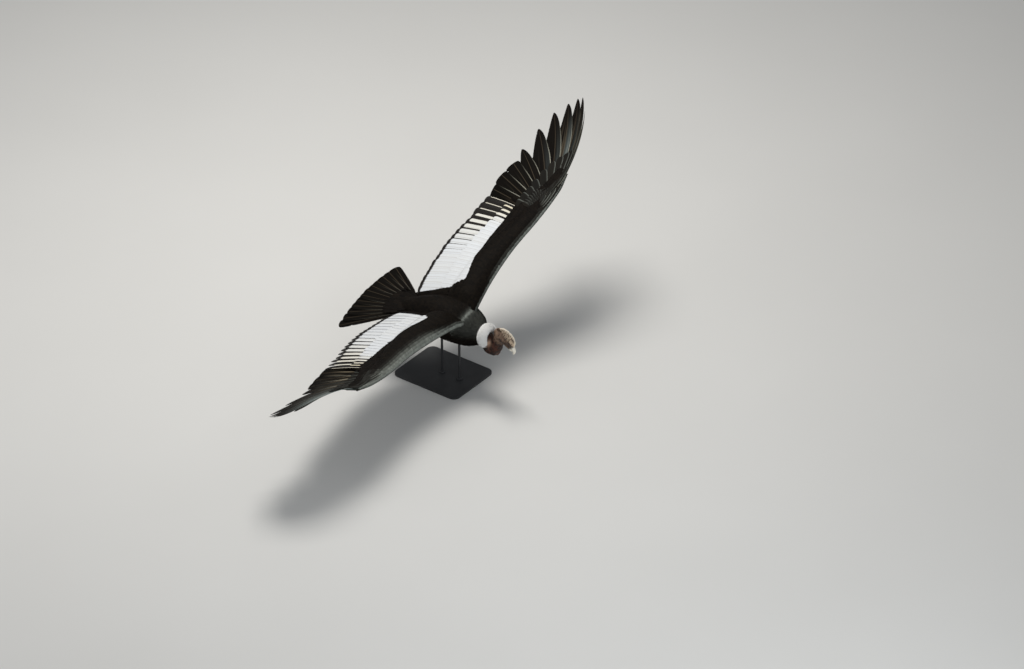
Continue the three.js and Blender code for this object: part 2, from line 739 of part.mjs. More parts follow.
function rodGeometry(x, top, extra = 0) {
  const foot = BASE.thick + GAP;
  const r = ROD.radius + extra;
  const profile = [
    [0, foot],
    [ROD.foot, foot],
    [ROD.foot, foot + ROD.footHigh * 0.6],
    [ROD.foot - 3, foot + ROD.footHigh],
    [r, foot + ROD.footHigh],
    [r, top],
    [0, top],
  ].map(([radius, height]) => new THREE.Vector2(radius, height));
  return new THREE.LatheGeometry(profile, 14).rotateX(Math.PI / 2).translate(x, 0, 0);
}
const ROD_TOP = { front: 0, rear: 0 };
for (const [name, x] of Object.entries(ROD_X)) {
  const inBird = V(x - BIRD_AT.x, 0, 0);
  const belly = along(TRUNK, "x", "z", inBird.x) - along(TRUNK, "x", "tall", inBird.x);
  ROD_TOP[name] = BIRD_AT.z + belly + inBird.x * Math.sin(PITCH) + 34;
}

function trunkNode() {
  let made = trunkSolid();
  for (const [name, x] of Object.entries(ROD_X)) {
    const socket = solidOf(rodGeometry(x, ROD_TOP[name] + GAP, GAP));
    made = made.subtract(socket.transform(intoBird.elements));
  }
  return made;
}

function baseGeometry() {
  const { long, wide, corner, thick } = BASE;
  const [a, b] = [long / 2 - corner, wide / 2 - corner];
  const outline = new THREE.Shape();
  [
    [a, b, 0],
    [-a, b, 1],
    [-a, -b, 2],
    [a, -b, 3],
  ].forEach(([x, y, quarter]) =>
    outline.absarc(x, y, corner, (quarter * Math.PI) / 2, ((quarter + 1) * Math.PI) / 2),
  );
  return new THREE.ExtrudeGeometry(outline, {
    depth: thick,
    bevelEnabled: false,
    curveSegments: 4,
  });
}

const COLOURS = {
  plumage: [0x14110e, 0.6],
  flight: [0x17130f, 0.5],
  down: [0xf2f0ea, 0.9],
  skin: [0x4a2f26, 0.6],
  comb: [0x7d6350, 0.6],
  bill: [0xe6dcc0, 0.4],
  eye: [0x5a3a1c, 0.1],
  shank: [0x55534f, 0.6],
  stand: [0x2b2c2e, 0.5],
};

function add(group, name, solid, colour) {
  const geometry = solid.isBufferGeometry ? solid : geometryOf(solid);
  const [color, roughness] = COLOURS[colour];
  const material = new THREE.MeshStandardMaterial({ color, roughness, metalness: 0 });
  const mesh = new THREE.Mesh(geometry, material);
  mesh.name = name;
  group.add(mesh);
}

const part = new THREE.Group();
part.add(bird);

const grownTrunk = trunkSolid(GAP);
const arm = joined([
  spanLoft(ARM.from, ARM.to, 11, armFlesh),
  ...evenly(SECONDARY.count, secondary),
  ...evenly(GREATER.count, greaterCovert),
  ...evenly(SCAPULAR.count, scapular),
]).subtract(grownTrunk);
const hand = joined([
  spanLoft(ARM.to + GAP, HAND.to, 5, handFlesh),
  ...PRIMARY.map((_, i) => primary(i)),
  ...evenly(PRIMARY_COVERT.count, primaryCovert),
  ...evenly(ALULA.count, alula),
]);
const tail = joined([
  ovalLoft(WEDGE, 6, 18),
  ...evenly(RECTRIX.count, rectrix),
  ...evenly(TAIL_COVERT.count, tailCovert),
]).subtract(grownTrunk);
const grownSkull = onHead(skull(GAP));
const bareNeck = neckBareSolid().subtract(grownSkull).subtract(neckBase(GAP));
const billFoot = billLow().subtract(billTop(GAP)).subtract(skull(GAP));

add(bird, "torso", trunkNode(), "plumage");
add(bird, "neck_base", neckBase().subtract(grownTrunk), "plumage");
add(bird, "ruff", ruffSolid().subtract(neckBase(GAP)).subtract(neckBareSolid(1.5 * GAP)), "down");
add(bird, "neck_bare", bareNeck, "skin");
add(bird, "head", onHead(headSolid()), "skin");
add(bird, "comb", onHead(combSolid()), "comb");
add(bird, "bill_upper", onHead(billTopSolid()), "bill");
add(bird, "bill_lower", onHead(billFoot), "bill");
for (const [side, y] of [
  ["left", EYE.y],
  ["right", -EYE.y],
])
  add(bird, `eye_${side}`, onHead(ball(EYE.x, y, EYE.z, EYE.radius, [1, 1, 1], 12)), "eye");
for (const [side, turned] of [
  ["left", (solid) => solid],
  ["right", mirrored],
]) {
  add(bird, `wing_arm_${side}`, turned(arm), "plumage");
  add(bird, `wing_hand_${side}`, turned(hand), "flight");
  add(bird, `thigh_${side}`, turned(thigh().subtract(grownTrunk)), "plumage");
  add(bird, `shank_${side}`, turned(shank().subtract(thigh(GAP))), "shank");
  add(bird, `foot_${side}`, turned(footSolid()), "shank");
}
add(bird, "tail", tail, "flight");

add(part, "stand_base", baseGeometry(), "stand");
add(part, "stand_rod_front", rodGeometry(ROD_X.front, ROD_TOP.front), "stand");
add(part, "stand_rod_rear", rodGeometry(ROD_X.rear, ROD_TOP.rear), "stand");

export default part;
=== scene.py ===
# An adult male Andean condor in a banked glide on a plain display stand: the looks over the CAD part.
# Metres, +Z up. The bird is modelled level in its own frame, +X to the bill and +Y to its left wing,
# and every finished piece is then pitched, banked and set over the stand.

import math

import bmesh
import bpy
import numpy as np
from mathutils import Matrix, Vector, noise


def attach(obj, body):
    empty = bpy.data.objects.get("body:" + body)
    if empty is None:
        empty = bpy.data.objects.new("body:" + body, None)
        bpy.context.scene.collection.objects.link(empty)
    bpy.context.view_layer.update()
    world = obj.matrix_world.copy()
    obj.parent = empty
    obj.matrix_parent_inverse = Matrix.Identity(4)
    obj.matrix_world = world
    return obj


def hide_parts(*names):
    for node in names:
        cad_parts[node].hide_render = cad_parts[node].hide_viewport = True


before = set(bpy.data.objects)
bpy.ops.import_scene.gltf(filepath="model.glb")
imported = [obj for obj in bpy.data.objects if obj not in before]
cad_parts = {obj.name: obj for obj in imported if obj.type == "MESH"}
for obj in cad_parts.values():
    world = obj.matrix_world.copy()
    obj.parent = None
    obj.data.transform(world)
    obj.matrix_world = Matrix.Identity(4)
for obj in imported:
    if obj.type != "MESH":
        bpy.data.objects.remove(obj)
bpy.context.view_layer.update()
bpy.ops.object.select_all(action="DESELECT")

# Where the bird hangs over the stand, the same numbers as in the CAD
PITCH = math.radians(9.4)
BANK = math.radians(10.7)
BIRD = (
    Matrix.Translation((0.05, 0.0, 0.42))
    @ Matrix.Rotation(-PITCH, 4, "Y")
    @ Matrix.Rotation(BANK, 4, "X")
)
HEAD = (
    Matrix.Translation((0.334, 0.0, -0.088))
    @ Matrix.Rotation(math.radians(-6), 4, "Z")
    @ Matrix.Rotation(math.radians(46), 4, "Y")
    @ Matrix.Scale(1.13, 4)
)

# Camera: the photo is a long view from above, ahead of the right wing
CAMERA = {"away": 40.0, "azimuth": 36.84, "elevation": 33.0, "pixels_per_metre": 182.0}
FILM_WIDTH, IMAGE_WIDTH, VIEW_END = 36, 1024, 200
AIM = {"right": 0.340, "up": -0.119}


def set_camera():
    azimuth, elevation = math.radians(CAMERA["azimuth"]), math.radians(CAMERA["elevation"])
    level = math.cos(elevation)
    back = Vector((math.sin(azimuth) * level, -math.cos(azimuth) * level, math.sin(elevation)))
    turn = (-back).to_track_quat("-Z", "Y")
    right, up = turn @ Vector((1, 0, 0)), turn @ Vector((0, 1, 0))
    data = bpy.data.cameras.new("camera")
    data.sensor_width = FILM_WIDTH
    data.lens = data.sensor_width * CAMERA["away"] * CAMERA["pixels_per_metre"] / IMAGE_WIDTH
    data.clip_end = VIEW_END
    camera = bpy.data.objects.new("camera", data)
    aim = BIRD.translation + right * AIM["right"] + up * AIM["up"]
    camera.location = aim + back * CAMERA["away"]
    camera.rotation_euler = turn.to_euler()
    bpy.context.scene.collection.objects.link(camera)
    bpy.context.scene.camera = camera


# The soft lamps: place, edge, watts and colour
LAMPS = {
    "key_light": ((-1.5, 1.2, 6.0), 2.6, 300, (1.0, 0.97, 0.92)),
    "front_light": ((5.0, -3.0, 3.0), 3.5, 105, (0.93, 0.97, 1.0)),
    "fill_light": ((-3.5, -5.0, 3.5), 4.0, 62, (1.0, 0.98, 0.95)),
}
LAMPS_AIM = Vector((0, 0, 0.4))
ROOM = {"colour": (0.86, 0.88, 0.90, 1), "strength": 0.29}
FLOOR_SIZE = 120


def softbox(name, at, size, power, colour):
    """A square lamp turned towards the bird."""
    data = bpy.data.lights.new(name, "AREA")
    data.size, data.energy, data.color = size, power, colour
    lamp = bpy.data.objects.new(name, data)
    lamp.location = at
    lamp.rotation_euler = (LAMPS_AIM - Vector(at)).to_track_quat("-Z", "Y").to_euler()
    bpy.context.scene.collection.objects.link(lamp)


def set_studio():
    for name, lamp in LAMPS.items():
        softbox(name, *lamp)
    world = bpy.data.worlds.new("studio")
    bpy.context.scene.world = world
    world.use_nodes = True
    background = world.node_tree.nodes["Background"]
    background.inputs["Color"].default_value = ROOM["colour"]
    background.inputs["Strength"].default_value = ROOM["strength"]
    bpy.context.scene.view_settings.view_transform = "Standard"
    bpy.ops.mesh.primitive_plane_add(size=FLOOR_SIZE)
    floor = bpy.context.object
    floor.name = "floor"
    floor.data.materials.append(floor_material())


# The wing at stations along its span: y, leading edge, trailing edge, height, camber
WING = (
    (0.020, 0.134, -0.300, -0.030, 0.022),
    (0.110, 0.132, -0.318, 0.014, 0.040),
    (0.300, 0.115, -0.337, 0.058, 0.044),
    (0.500, 0.121, -0.326, 0.106, 0.028),
    (0.720, 0.158, -0.268, 0.162, 0.016),
    (0.900, 0.189, -0.218, 0.226, 0.010),
    (0.985, 0.181, -0.199, 0.257, 0.009),
    (1.060, 0.170, -0.182, 0.285, 0.008),
)
LEAD, TRAIL, HEIGHT, CAMBER = 1, 2, 3, 4
WING_TWIST = 0.010
WRIST, HAND_END, ARM_START = 0.735, 0.985, 0.110

# The trunk and the neck's root at stations: x, middle y, middle z, half width, half height
TRUNK = (
    (0.204, 0.0, -0.110, 0.057, 0.057),
    (0.176, 0.0, -0.097, 0.074, 0.068),
    (0.140, 0.0, -0.080, 0.108, 0.088),
    (0.070, 0.0, -0.056, 0.128, 0.106),
    (-0.020, 0.0, -0.040, 0.130, 0.108),
    (-0.120, 0.0, -0.030, 0.112, 0.096),
    (-0.200, 0.0, -0.022, 0.088, 0.074),
    (-0.262, 0.0, -0.016, 0.066, 0.050),
)
WEDGE = (
    (-0.240, 0.0, -0.0165, 0.071, 0.058),
    (-0.262, 0.0, -0.016, 0.066, 0.049),
    (-0.300, 0.0, -0.017, 0.078, 0.034),
    (-0.345, 0.0, -0.018, 0.092, 0.019),
    (-0.385, 0.0, -0.017, 0.100, 0.009),
    (-0.415, 0.0, -0.015, 0.098, 0.003),
)
THIGH = (
    (-0.105, 0.057, -0.092, 0.030, 0.030),
    (-0.120, 0.058, -0.096, 0.034, 0.034),
    (-0.170, 0.060, -0.104, 0.040, 0.040),
    (-0.230, 0.057, -0.094, 0.031, 0.031),
    (-0.285, 0.050, -0.074, 0.017, 0.017),
    (-0.304, 0.049, -0.070, 0.011, 0.011),
)
MIDDLE_Y, MIDDLE_Z, WIDE, TALL = 1, 2, 3, 4
COAT_DEPTH = 0.007


def along(table, column, at):
    """Value of one column of a station table at places along its first column, by a smooth cubic."""
    rows = np.array(sorted(table), float)
    x, p = rows[:, 0], rows[:, column]
    slope = np.gradient(p, x)
    slope[1:-1] = (p[2:] - p[:-2]) / (x[2:] - x[:-2])
    at = np.asarray(at, float)
    i = np.clip(np.searchsorted(x, at) - 1, 0, len(x) - 2)
    span = x[i + 1] - x[i]
    t = np.clip((at - x[i]) / span, 0, 1)
    inside = (
        p[i] * (2 * t**3 - 3 * t**2 + 1)
        + slope[i] * span * (t**3 - 2 * t**2 + t)
        + p[i + 1] * (3 * t**2 - 2 * t**3)
        + slope[i + 1] * span * (t**3 - t**2)
    )
    low, high = np.minimum(at - x[0], 0), np.maximum(at - x[-1], 0)
    return inside + low * slope[0] + high * slope[-1]


def mix(a, b, share):
    return a + (b - a) * share


def stack(x, y, z):
    return np.stack(np.broadcast_arrays(x, y, z), -1)


def unit(v):
    return v / np.maximum(np.linalg.norm(v, axis=-1, keepdims=True), 1e-9)


def wing_point(y, t, lift=0.0):
    """Points of the left wing's middle surface, t from its leading to its trailing edge."""
    lead, trail = along(WING, LEAD, y), along(WING, TRAIL, y)
    camber = along(WING, CAMBER, y) * np.sin(np.pi * np.clip(t, 0, 1) ** 0.7)
    height = along(WING, HEIGHT, y) - WING_TWIST * t + camber + lift
    return stack(mix(lead, trail, t), y, height)


# The wing's flesh at the shoulder, at the wrist and at the hand's end: share of the chord, thickness
FLESH_SHARE = (0.44, 0.27, 0.09)
FLESH_THICK = (0.072, 0.030, 0.003)
FLESH_FULLEST = 2.13  # brings the thickest place of its section to the thickness


def over_bones(y, measures, power=1.0):
    """A measure of the wing's flesh along the span."""
    arm = np.clip((y - ARM_START) / (WRIST - ARM_START), 0, 1)
    hand = np.clip((y - WRIST) / (HAND_END - WRIST), 0, 1)
    shoulder, wrist, end = measures
    return np.where(y < WRIST, mix(shoulder, wrist, arm**power), mix(wrist, end, hand))


def chord(y):
    return along(WING, LEAD, y) - along(WING, TRAIL, y)


def flesh_share(y):
    return over_bones(y, FLESH_SHARE)


def flesh_half(y, t):
    """Half the thickness of the wing's flesh."""
    u = np.clip(t / flesh_share(y), 0, 1)
    return over_bones(y, FLESH_THICK, 0.7) / 2 * FLESH_FULLEST * u**0.5 * (1 - u) ** 0.6


NOSE = 0.02  # how soon the coat's surface turns over the leading edge
COAT_LIES_OVER = 0.0012


def coat_point(y, q):
    """Points of the wing's coat: q is 0 at the leading edge, 1 at the upper and -1 at the lower
    trailing edge."""
    t = np.sqrt(q**2 + NOSE**2) - NOSE
    half = flesh_half(y, t) + COAT_LIES_OVER * np.clip(np.abs(q) / NOSE, 0, 1)
    return wing_point(y, t, np.sign(q) * half)


def oval_point(table, x, angle, out):
    """Points over a body of upright ovals, and their outward normals. The angle is 0 at its left side
    and a quarter turn on top."""
    wide, tall = along(table, WIDE, x), along(table, TALL, x)
    normal = unit(stack(0 * angle, np.cos(angle) / wide, np.sin(angle) / tall))
    y = along(table, MIDDLE_Y, x) + wide * np.cos(angle)
    at = stack(x, y, along(table, MIDDLE_Z, x) + tall * np.sin(angle))
    return at + normal * np.asarray(out)[..., None], normal


# Outlines of feathers: place along the length, share of the outer and of the inner web's width
OUTLINES = {
    "broad": ((0, 0.15, 0.15), (0.12, 0.5, 0.5), (0.3, 0.85, 0.85), (0.6, 1, 1), (0.88, 0.99, 1),
              (0.945, 0.93, 0.95), (0.975, 0.8, 0.82), (0.992, 0.52, 0.52), (1, 0.2, 0.2)),
    "covert": ((0, 0.3, 0.3), (0.2, 0.75, 0.75), (0.5, 1, 1), (0.84, 1, 1), (0.93, 0.9, 0.9),
               (0.975, 0.68, 0.68), (0.993, 0.4, 0.4), (1, 0.15, 0.15)),
    "closed": ((0, 0.15, 0.15), (0.16, 0.6, 0.6), (0.4, 1, 1), (0.86, 1, 1), (0.94, 1, 0.96),
               (0.975, 0.93, 0.82), (0.992, 0.75, 0.56), (1, 0.3, 0.25)),
    "tapered": ((0, 0.15, 0.15), (0.16, 0.6, 0.6), (0.4, 1, 1), (0.66, 1, 0.99), (0.78, 0.98, 0.86),
                (0.87, 0.90, 0.66), (0.94, 0.72, 0.44), (0.98, 0.42, 0.20), (1, 0.05, 0.03)),
    "fingered": ((0, 0.95, 0.1), (0.2, 1, 0.85), (0.45, 1, 1), (0.60, 1, 0.98), (0.68, 0.93, 0.84),
                 (0.76, 0.86, 0.70), (0.86, 0.72, 0.47), (0.93, 0.54, 0.29), (0.97, 0.35, 0.16),
                 (0.992, 0.19, 0.08), (1, 0.05, 0.03)),
    "contour": ((0, 0.35, 0.35), (0.3, 0.85, 0.85), (0.6, 1, 1), (0.8, 0.93, 0.93), (0.92, 0.68, 0.68),
                (1, 0.14, 0.14)),
    "wisp": ((0, 1, 1), (0.5, 0.8, 0.8), (1, 0.05, 0.05)),
}
# How finely each kind of feather is meshed: rows along it, and the columns of each web
GRAINS = {
    "primary": (56, (0.07, 0.35, 0.7, 1.0)),
    "fine": (44, (0.07, 0.35, 0.7, 1.0)),
    "greater": (26, (0.08, 0.4, 0.75, 1.0)),
    "hand": (20, (0.1, 0.5, 1.0)),
    "shoulder": (16, (0.1, 0.5, 1.0)),
    "middling": (15, (0.1, 0.55, 1.0)),
    "small": (5, (1.0,)),
    "down": (3, (1.0,)),
}
OUTER_SHARE = 0.36  # the outer web's share of the width
ROLL_SPREAD = 0.5
SPLIT_DEPTH, EDGE_WEAR = (0.08, 0.26), 0.035
SHAFT_HALF = 0.05
SMALL_THICK = (0.0012, 0.0005)


def vane_grid(outline, rows, web, slant):
    """The points of one flat feather. Each row runs from the shaft out along a barb, towards the tip."""
    row = 1 - (1 - np.linspace(0, 1, rows + 1)) ** 1.35
    across = np.array([-w for w in reversed(web)] + [0.0] + list(web))
    e, a = np.meshgrid(row, across, indexing="ij")
    s = e - slant * (1 - np.abs(a)) * 4 * e * (1 - e)
    table = np.array(OUTLINES[outline])
    share = np.where(a > 0, np.interp(e, table[:, 0], table[:, 1]), np.interp(e, table[:, 0], table[:, 2]))
    return e, a, s, share


def vane_faces(rows, columns, bottom):
    """Quads of the upper face, and of the lower one, which shares the feather's rim."""
    top, under = [], []
    for r in range(rows):
        for c in range(columns - 1):
            k = r * columns + c
            quad = (k, k + 1, k + columns + 1, k + columns)
            top.append(quad)
            under.append([bottom[n] for n in reversed(quad)])
    return top + under


def feathers(where, count, width, outline, grain, seed, roll=3.5, thick=(0.0017, 0.0006), cup=0.0,
             ridge=0.0, slant=0.08, splits=0.0, length=1.0):
    """Many like feathers as points, faces and values. where(s) gives each one's points and outward
    normals at places s along it. The outer web is raised by the roll, so that each feather lies
    over the next one out."""
    rng = np.random.default_rng(seed)
    rows, web = GRAINS[grain]
    e, a, s, share = vane_grid(outline, rows, web, slant)
    columns = e.shape[1]
    rim = np.zeros(e.shape, bool)
    rim[0], rim[-1], rim[:, 0], rim[:, -1] = True, True, True, True
    reach = np.ones((count, rows + 1, columns))
    if splits:
        cut = rng.random((count, rows + 1, 2)) < splits
        cut[:, : rows // 4] = cut[:, -2:] = False
        depth = np.where(cut, rng.uniform(*SPLIT_DEPTH, cut.shape), 0)
        depth += rng.uniform(0, EDGE_WEAR, cut.shape)
        reach = 1 - np.where(a[None] > 0, depth[..., :1], depth[..., 1:]) * np.abs(a[None])
    flat = lambda grid: np.broadcast_to(grid, (count, rows + 1, columns)).reshape(count, -1)
    s_all, a_all, e_all = flat(s), flat(a), flat(e)
    web_width = np.where(a_all > 0, OUTER_SHARE, 1 - OUTER_SHARE) * np.reshape(width, (-1, 1))
    offset = a_all * web_width * flat(share) * reach.reshape(count, -1)
    at, normal = where(s_all)
    step = 0.01
    ahead = unit(where(s_all + step)[0] - where(s_all - step)[0])
    normal = unit(normal - ahead * np.sum(normal * ahead, -1, keepdims=True))
    side = np.cross(ahead, normal)
    tilt = np.radians(roll + rng.normal(0, ROLL_SPREAD, (count, 1)))[..., None]
    up = normal * np.cos(tilt) - side * np.sin(tilt)
    side = side * np.cos(tilt) + normal * np.sin(tilt)
    half = mix(*thick, s_all) / 2
    shaft = ridge * (1 - s_all) * (np.abs(a_all) < SHAFT_HALF)
    body = half * (1 - a_all**2) ** 0.5 + shaft
    bend = -cup * np.abs(a_all) ** 2 * web_width
    rng.random(count)  # passed over, so that the tones below keep their place in the draws
    middle = at + side * offset[..., None] + up * bend[..., None]
    top = middle + up * (np.where(flat(rim), 0, body))[..., None]
    inner = ~rim.ravel()
    low = (middle - up * body[..., None])[:, inner]
    bottom = np.arange(rim.size)
    bottom[inner] = rim.size + np.arange(inner.sum())
    quads = np.array(vane_faces(rows, columns, bottom))
    per = rim.size + inner.sum()
    points = np.concatenate([top, low], 1)
    faces = (quads[None] + per * np.arange(count)[:, None, None]).reshape(-1, 4)
    both = lambda grid: np.concatenate([grid, grid[:, inner]], 1).ravel()
    longest = np.reshape(length, (-1, 1)) * np.ones((count, 1))
    return {
        "points": points.reshape(-1, 3),
        "faces": faces,
        "rim": both(np.broadcast_to(rim.ravel(), (count, rim.size))),
        "under": np.tile(np.repeat((0.0, 1.0), (rim.size, inner.sum())), count),
        "across": both(a_all),
        "along": both(e_all),
        "from_tip": both((1 - e_all) * longest),
        "tone": np.repeat(rng.random(count), per),
        "root": np.repeat(at[:, 0], per, axis=0),
        "lane": np.repeat(np.arange(count), per),
    }


def gathered(sets):
    """Several sets of feathers as one."""
    whole, faces, start, lane = {}, [], 0, 0
    for s in sets:
        faces.append(s["faces"] + start)
        start += len(s["points"])
        s["lane"] = s["lane"] + lane
        lane = s["lane"].max() + 1
    for key in sets[0]:
        if key != "faces":
            whole[key] = np.concatenate([s[key] for s in sets])
    whole["faces"] = np.concatenate(faces)
    return whole


def valued(made, **values):
    """Adds values that hold for every point of a set."""
    for key, value in values.items():
        made[key] = np.broadcast_to(value, (len(made["points"]),)).astype(float)
    return made


def on_side(made, side):
    """A set made for the left side, mirrored where it is for the right one."""
    if side == "right":
        made["points"] = made["points"] * (1, -1, 1)
        made["root"] = made["root"] * (1, -1, 1)
        made["faces"] = made["faces"][:, ::-1]
    return made


SIDES = {"left": 1, "right": -1}

# How each piece is laid out flat in its OFBake UV layer
PATCH = 0.003


def in_strips(made):
    """Each big feather has a strip of its own."""
    strips = made["lane"].max() + 1
    u = (made["lane"] + 0.5 + 0.44 * made["across"]) / strips
    return np.stack([u, 0.02 + 0.96 * made["along"]], -1)


def in_patches(made, u, v):
    """Each small feather is a patch at its root's place on the unrolled skin."""
    u = 0.01 + 0.98 * np.clip(u, 0, 1) + PATCH / 2 * made["across"]
    v = 0.01 + 0.98 * np.clip(v, 0, 1) + PATCH * (made["along"] - 0.5)
    return np.stack([u, v], -1)


def on_wing(made):
    x, y = made["root"][:, 0], np.abs(made["root"][:, 1])
    lead, trail = along(WING, LEAD, y), along(WING, TRAIL, y)
    return in_patches(made, y / 1.1, (lead - x) / (lead - trail))


def round_body(made):
    x, y, z = made["root"].T
    middle = along(TRUNK, MIDDLE_Z, x)
    return in_patches(made, (x + 0.45) / 0.72, np.arctan2(z - middle, y) / (2 * np.pi) + 0.5)


def keep_value(mesh, name, values):
    """Keeps a value for each point, which the finishes read."""
    kept = mesh.attributes.new(name, "FLOAT", "POINT")
    kept.data.foreach_set("value", np.asarray(values, np.float32))


def kept_as(piece, replaced):
    """A finished piece's body and the solids it stands for."""
    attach(piece, "root")
    if replaced:
        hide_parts(*replaced)


def piece_from(name, made, material, replaced=(), layout=in_strips):
    """A piece of the bird from its points, faces and values, set in place over the stand."""
    turn = np.array(BIRD)
    points = made["points"] @ turn[:3, :3].T + turn[:3, 3]
    mesh = bpy.data.meshes.new(name)
    mesh.from_pydata(points.tolist(), [], made["faces"].tolist())
    mesh.shade_smooth()
    for key, value in made.items():
        if key not in ("points", "faces", "rim", "root", "lane"):
            keep_value(mesh, key, value)
    ends = np.zeros(len(mesh.edges) * 2, np.int32)
    mesh.edges.foreach_get("vertices", ends)
    sharp = made["rim"][ends.reshape(-1, 2)].all(1)
    mesh.attributes.new("sharp_edge", "BOOLEAN", "EDGE").data.foreach_set("value", sharp)
    corner = np.zeros(len(mesh.loops), np.int32)
    mesh.loops.foreach_get("vertex_index", corner)
    layer = mesh.uv_layers.new(name="OFBake")
    uv = layout(made)[corner]
    if layout is in_strips:  # the lower faces have the other half of the map
        below = made["under"][made["faces"]].max(1) > 0.5
        uv[:, 0] = (uv[:, 0] + np.repeat(below, 4)) / 2
    layer.data.foreach_set("uv", uv.astype(np.float32).ravel())
    piece = bpy.data.objects.new(name, mesh)
    bpy.context.scene.collection.objects.link(piece)
    mesh.materials.append(material)
    kept_as(piece, replaced)


# Flight feathers, each kind from the inmost to the outmost
SECONDARY = {
    "count": 18, "from": 0.126, "to": 0.718, "start": 0.2, "width": 0.064, "sweep": (0.005, 0.056),
    "inner_end": 0.985, "outer_end": 1.012, "uneven": 0.006,
}
STEP_AT = 14  # the outermost secondaries, past this one, reach further back
# How far across each secondary the black of the inner web reaches, 0 at the shaft, 1 at the outer edge
INNER_BLACK = ((0, -1.3), (7, -1.3), (8, -0.29), (9, -0.27), (10, -0.23), (11, -0.19), (12, -0.12),
               (13, 0.0), (14, 0.26), (15, 0.74), (16, 0.80), (17, 0.84))
PRIMARY = np.array(  # length, and turn away from straight back
    (
        (0.340, 14.0),
        (0.352, 23.5),
        (0.360, 34.0),
        (0.418, 42.0),
        (0.530, 53.4),
        (0.619, 60.5),
        (0.647, 66.2),
        (0.646, 69.8),
        (0.614, 71.8),
        (0.448, 78.0),
    )
)
PRIMARY_WIDTH = np.array((0.096, 0.098, 0.098, 0.102, 0.106, 0.104, 0.100, 0.094, 0.086, 0.066))
PRIMARY_ROOT = ((0.088, 0.752), (0.162, 0.955))
PRIMARY_RISE = {"inner": 0.014, "outer": 0.150, "power": 0.6}
PRIMARY_BOW = 0.065
# The right hand is closed and bent: its feathers lie on one surface, with a front height and a slope
# at each y, and keep to it from a share of their length on
RIGHT_HAND = (
    (0.75, 0.172, 0.06),
    (0.834, 0.205, 0.14),
    (0.915, 0.235, 0.19),
    (0.998, 0.278, 0.26),
    (1.10, 0.335, 0.385),
    (1.243, 0.392, 0.45),
    (1.368, 0.418, 0.42),
    (1.44, 0.425, 0.32),
    (1.50, 0.428, 0.15),
)
RIGHT_FRONT, RIGHT_HELD_FROM = 0.15, 0.3
RIGHT_REACH = (1, 1, 1, 0.92, 0.905, 0.925, 0.908, 0.905, 0.915, 1)
FIRST_FINGER = 3
# The right wing's outer trailing edge hangs lower: how far, from which y on and over what span
DROOP = {"depth": 0.036, "from": 0.38, "over": 0.35}


def column_of(values):
    return np.reshape(values, (-1, 1)).astype(float)


def on_surface(surface, first, second, out=0.0):
    """Place and outward normal on a surface of two measures, the first running out and the second
    back."""
    step = 0.002
    at = surface(first, second)
    normal = np.cross(
        surface(first + step, second) - surface(first - step, second),
        surface(first, second + step) - surface(first, second - step),
    )
    normal = unit(normal)
    return at + normal * np.asarray(out)[..., None], normal


def wing_line(y0, t0, y1, t1, lift0=0.0, lift1=0.0, surface=wing_point):
    """Lines over the wing, one for each entry, from (y0, t0) to (y1, t1)."""
    y0, t0, y1, t1, lift0, lift1 = map(column_of, np.broadcast_arrays(y0, t0, y1, t1, lift0, lift1))
    return lambda s: on_surface(surface, mix(y0, y1, s), mix(t0, t1, s), mix(lift0, lift1, s))


def hanging(where, drop):
    """The same lines with their ends lowered."""
    def lowered(s):
        at, normal = where(s)
        return at - stack(0 * s, 0 * s, column_of(drop) * s**2), normal

    return lowered


def right_droop(y, right):
    """How far the right wing's outer trailing edge hangs below the left one's."""
    return DROOP["depth"] * np.clip((y - DROOP["from"]) / DROOP["over"], 0, 1) ** 1.4 * right


def secondaries(seed, right):
    rng = np.random.default_rng(seed)
    n = SECONDARY["count"]
    share = np.arange(n) / (n - 1)
    y = mix(SECONDARY["from"], SECONDARY["to"], share)
    sweep = mix(*SECONDARY["sweep"], share**2)
    end = np.where(np.arange(n) > STEP_AT, SECONDARY["outer_end"], SECONDARY["inner_end"])
    end = end + rng.uniform(-SECONDARY["uneven"], SECONDARY["uneven"], n)
    line = hanging(wing_line(y, SECONDARY["start"], y + sweep, end), right_droop(y, right))
    length = chord(y) * (1 - SECONDARY["start"])
    return feathers(line, n, SECONDARY["width"], "broad", "fine", seed, ridge=0.0008, splits=0.01,
                    length=length)


def primary_point(i, s, right=False):
    """Places on the shaft of primary i, which may be a fraction between two of them."""
    last = len(PRIMARY) - 1
    i = np.clip(i, 0, last)
    length, turn = (np.interp(i, range(last + 1), PRIMARY[:, k]) for k in (0, 1))
    if right:
        length = length * np.interp(i, range(last + 1), RIGHT_REACH)
    share = i / last
    (x0, y0), (x1, y1) = PRIMARY_ROOT
    x, y = mix(x0, x1, share), mix(y0, y1, share)
    lead, trail = along(WING, LEAD, y), along(WING, TRAIL, y)
    root = wing_point(y, (lead - x) / (lead - trail))
    turn = np.radians(turn)
    zero = 0 * turn * s
    ahead = stack(-np.cos(turn) + zero, np.sin(turn), zero)
    forward = stack(np.sin(turn) + zero, np.cos(turn), zero)
    rise = mix(PRIMARY_RISE["inner"], PRIMARY_RISE["outer"], share ** PRIMARY_RISE["power"])
    bow = 4 * PRIMARY_BOW * length * s * (1 - s) * share
    at = root + ahead * (length * s)[..., None] + forward * bow[..., None] + stack(zero, zero, rise * s)
    if right:
        front, slope = (along(RIGHT_HAND, column, at[..., 1]) for column in (1, 2))
        held = np.clip(s / RIGHT_HELD_FROM, 0, 1) ** 2
        bent = front + slope * (at[..., 0] - RIGHT_FRONT)
        at[..., 2] = mix(at[..., 2], bent, held * (3 - 2 * np.sqrt(held)))
    return at


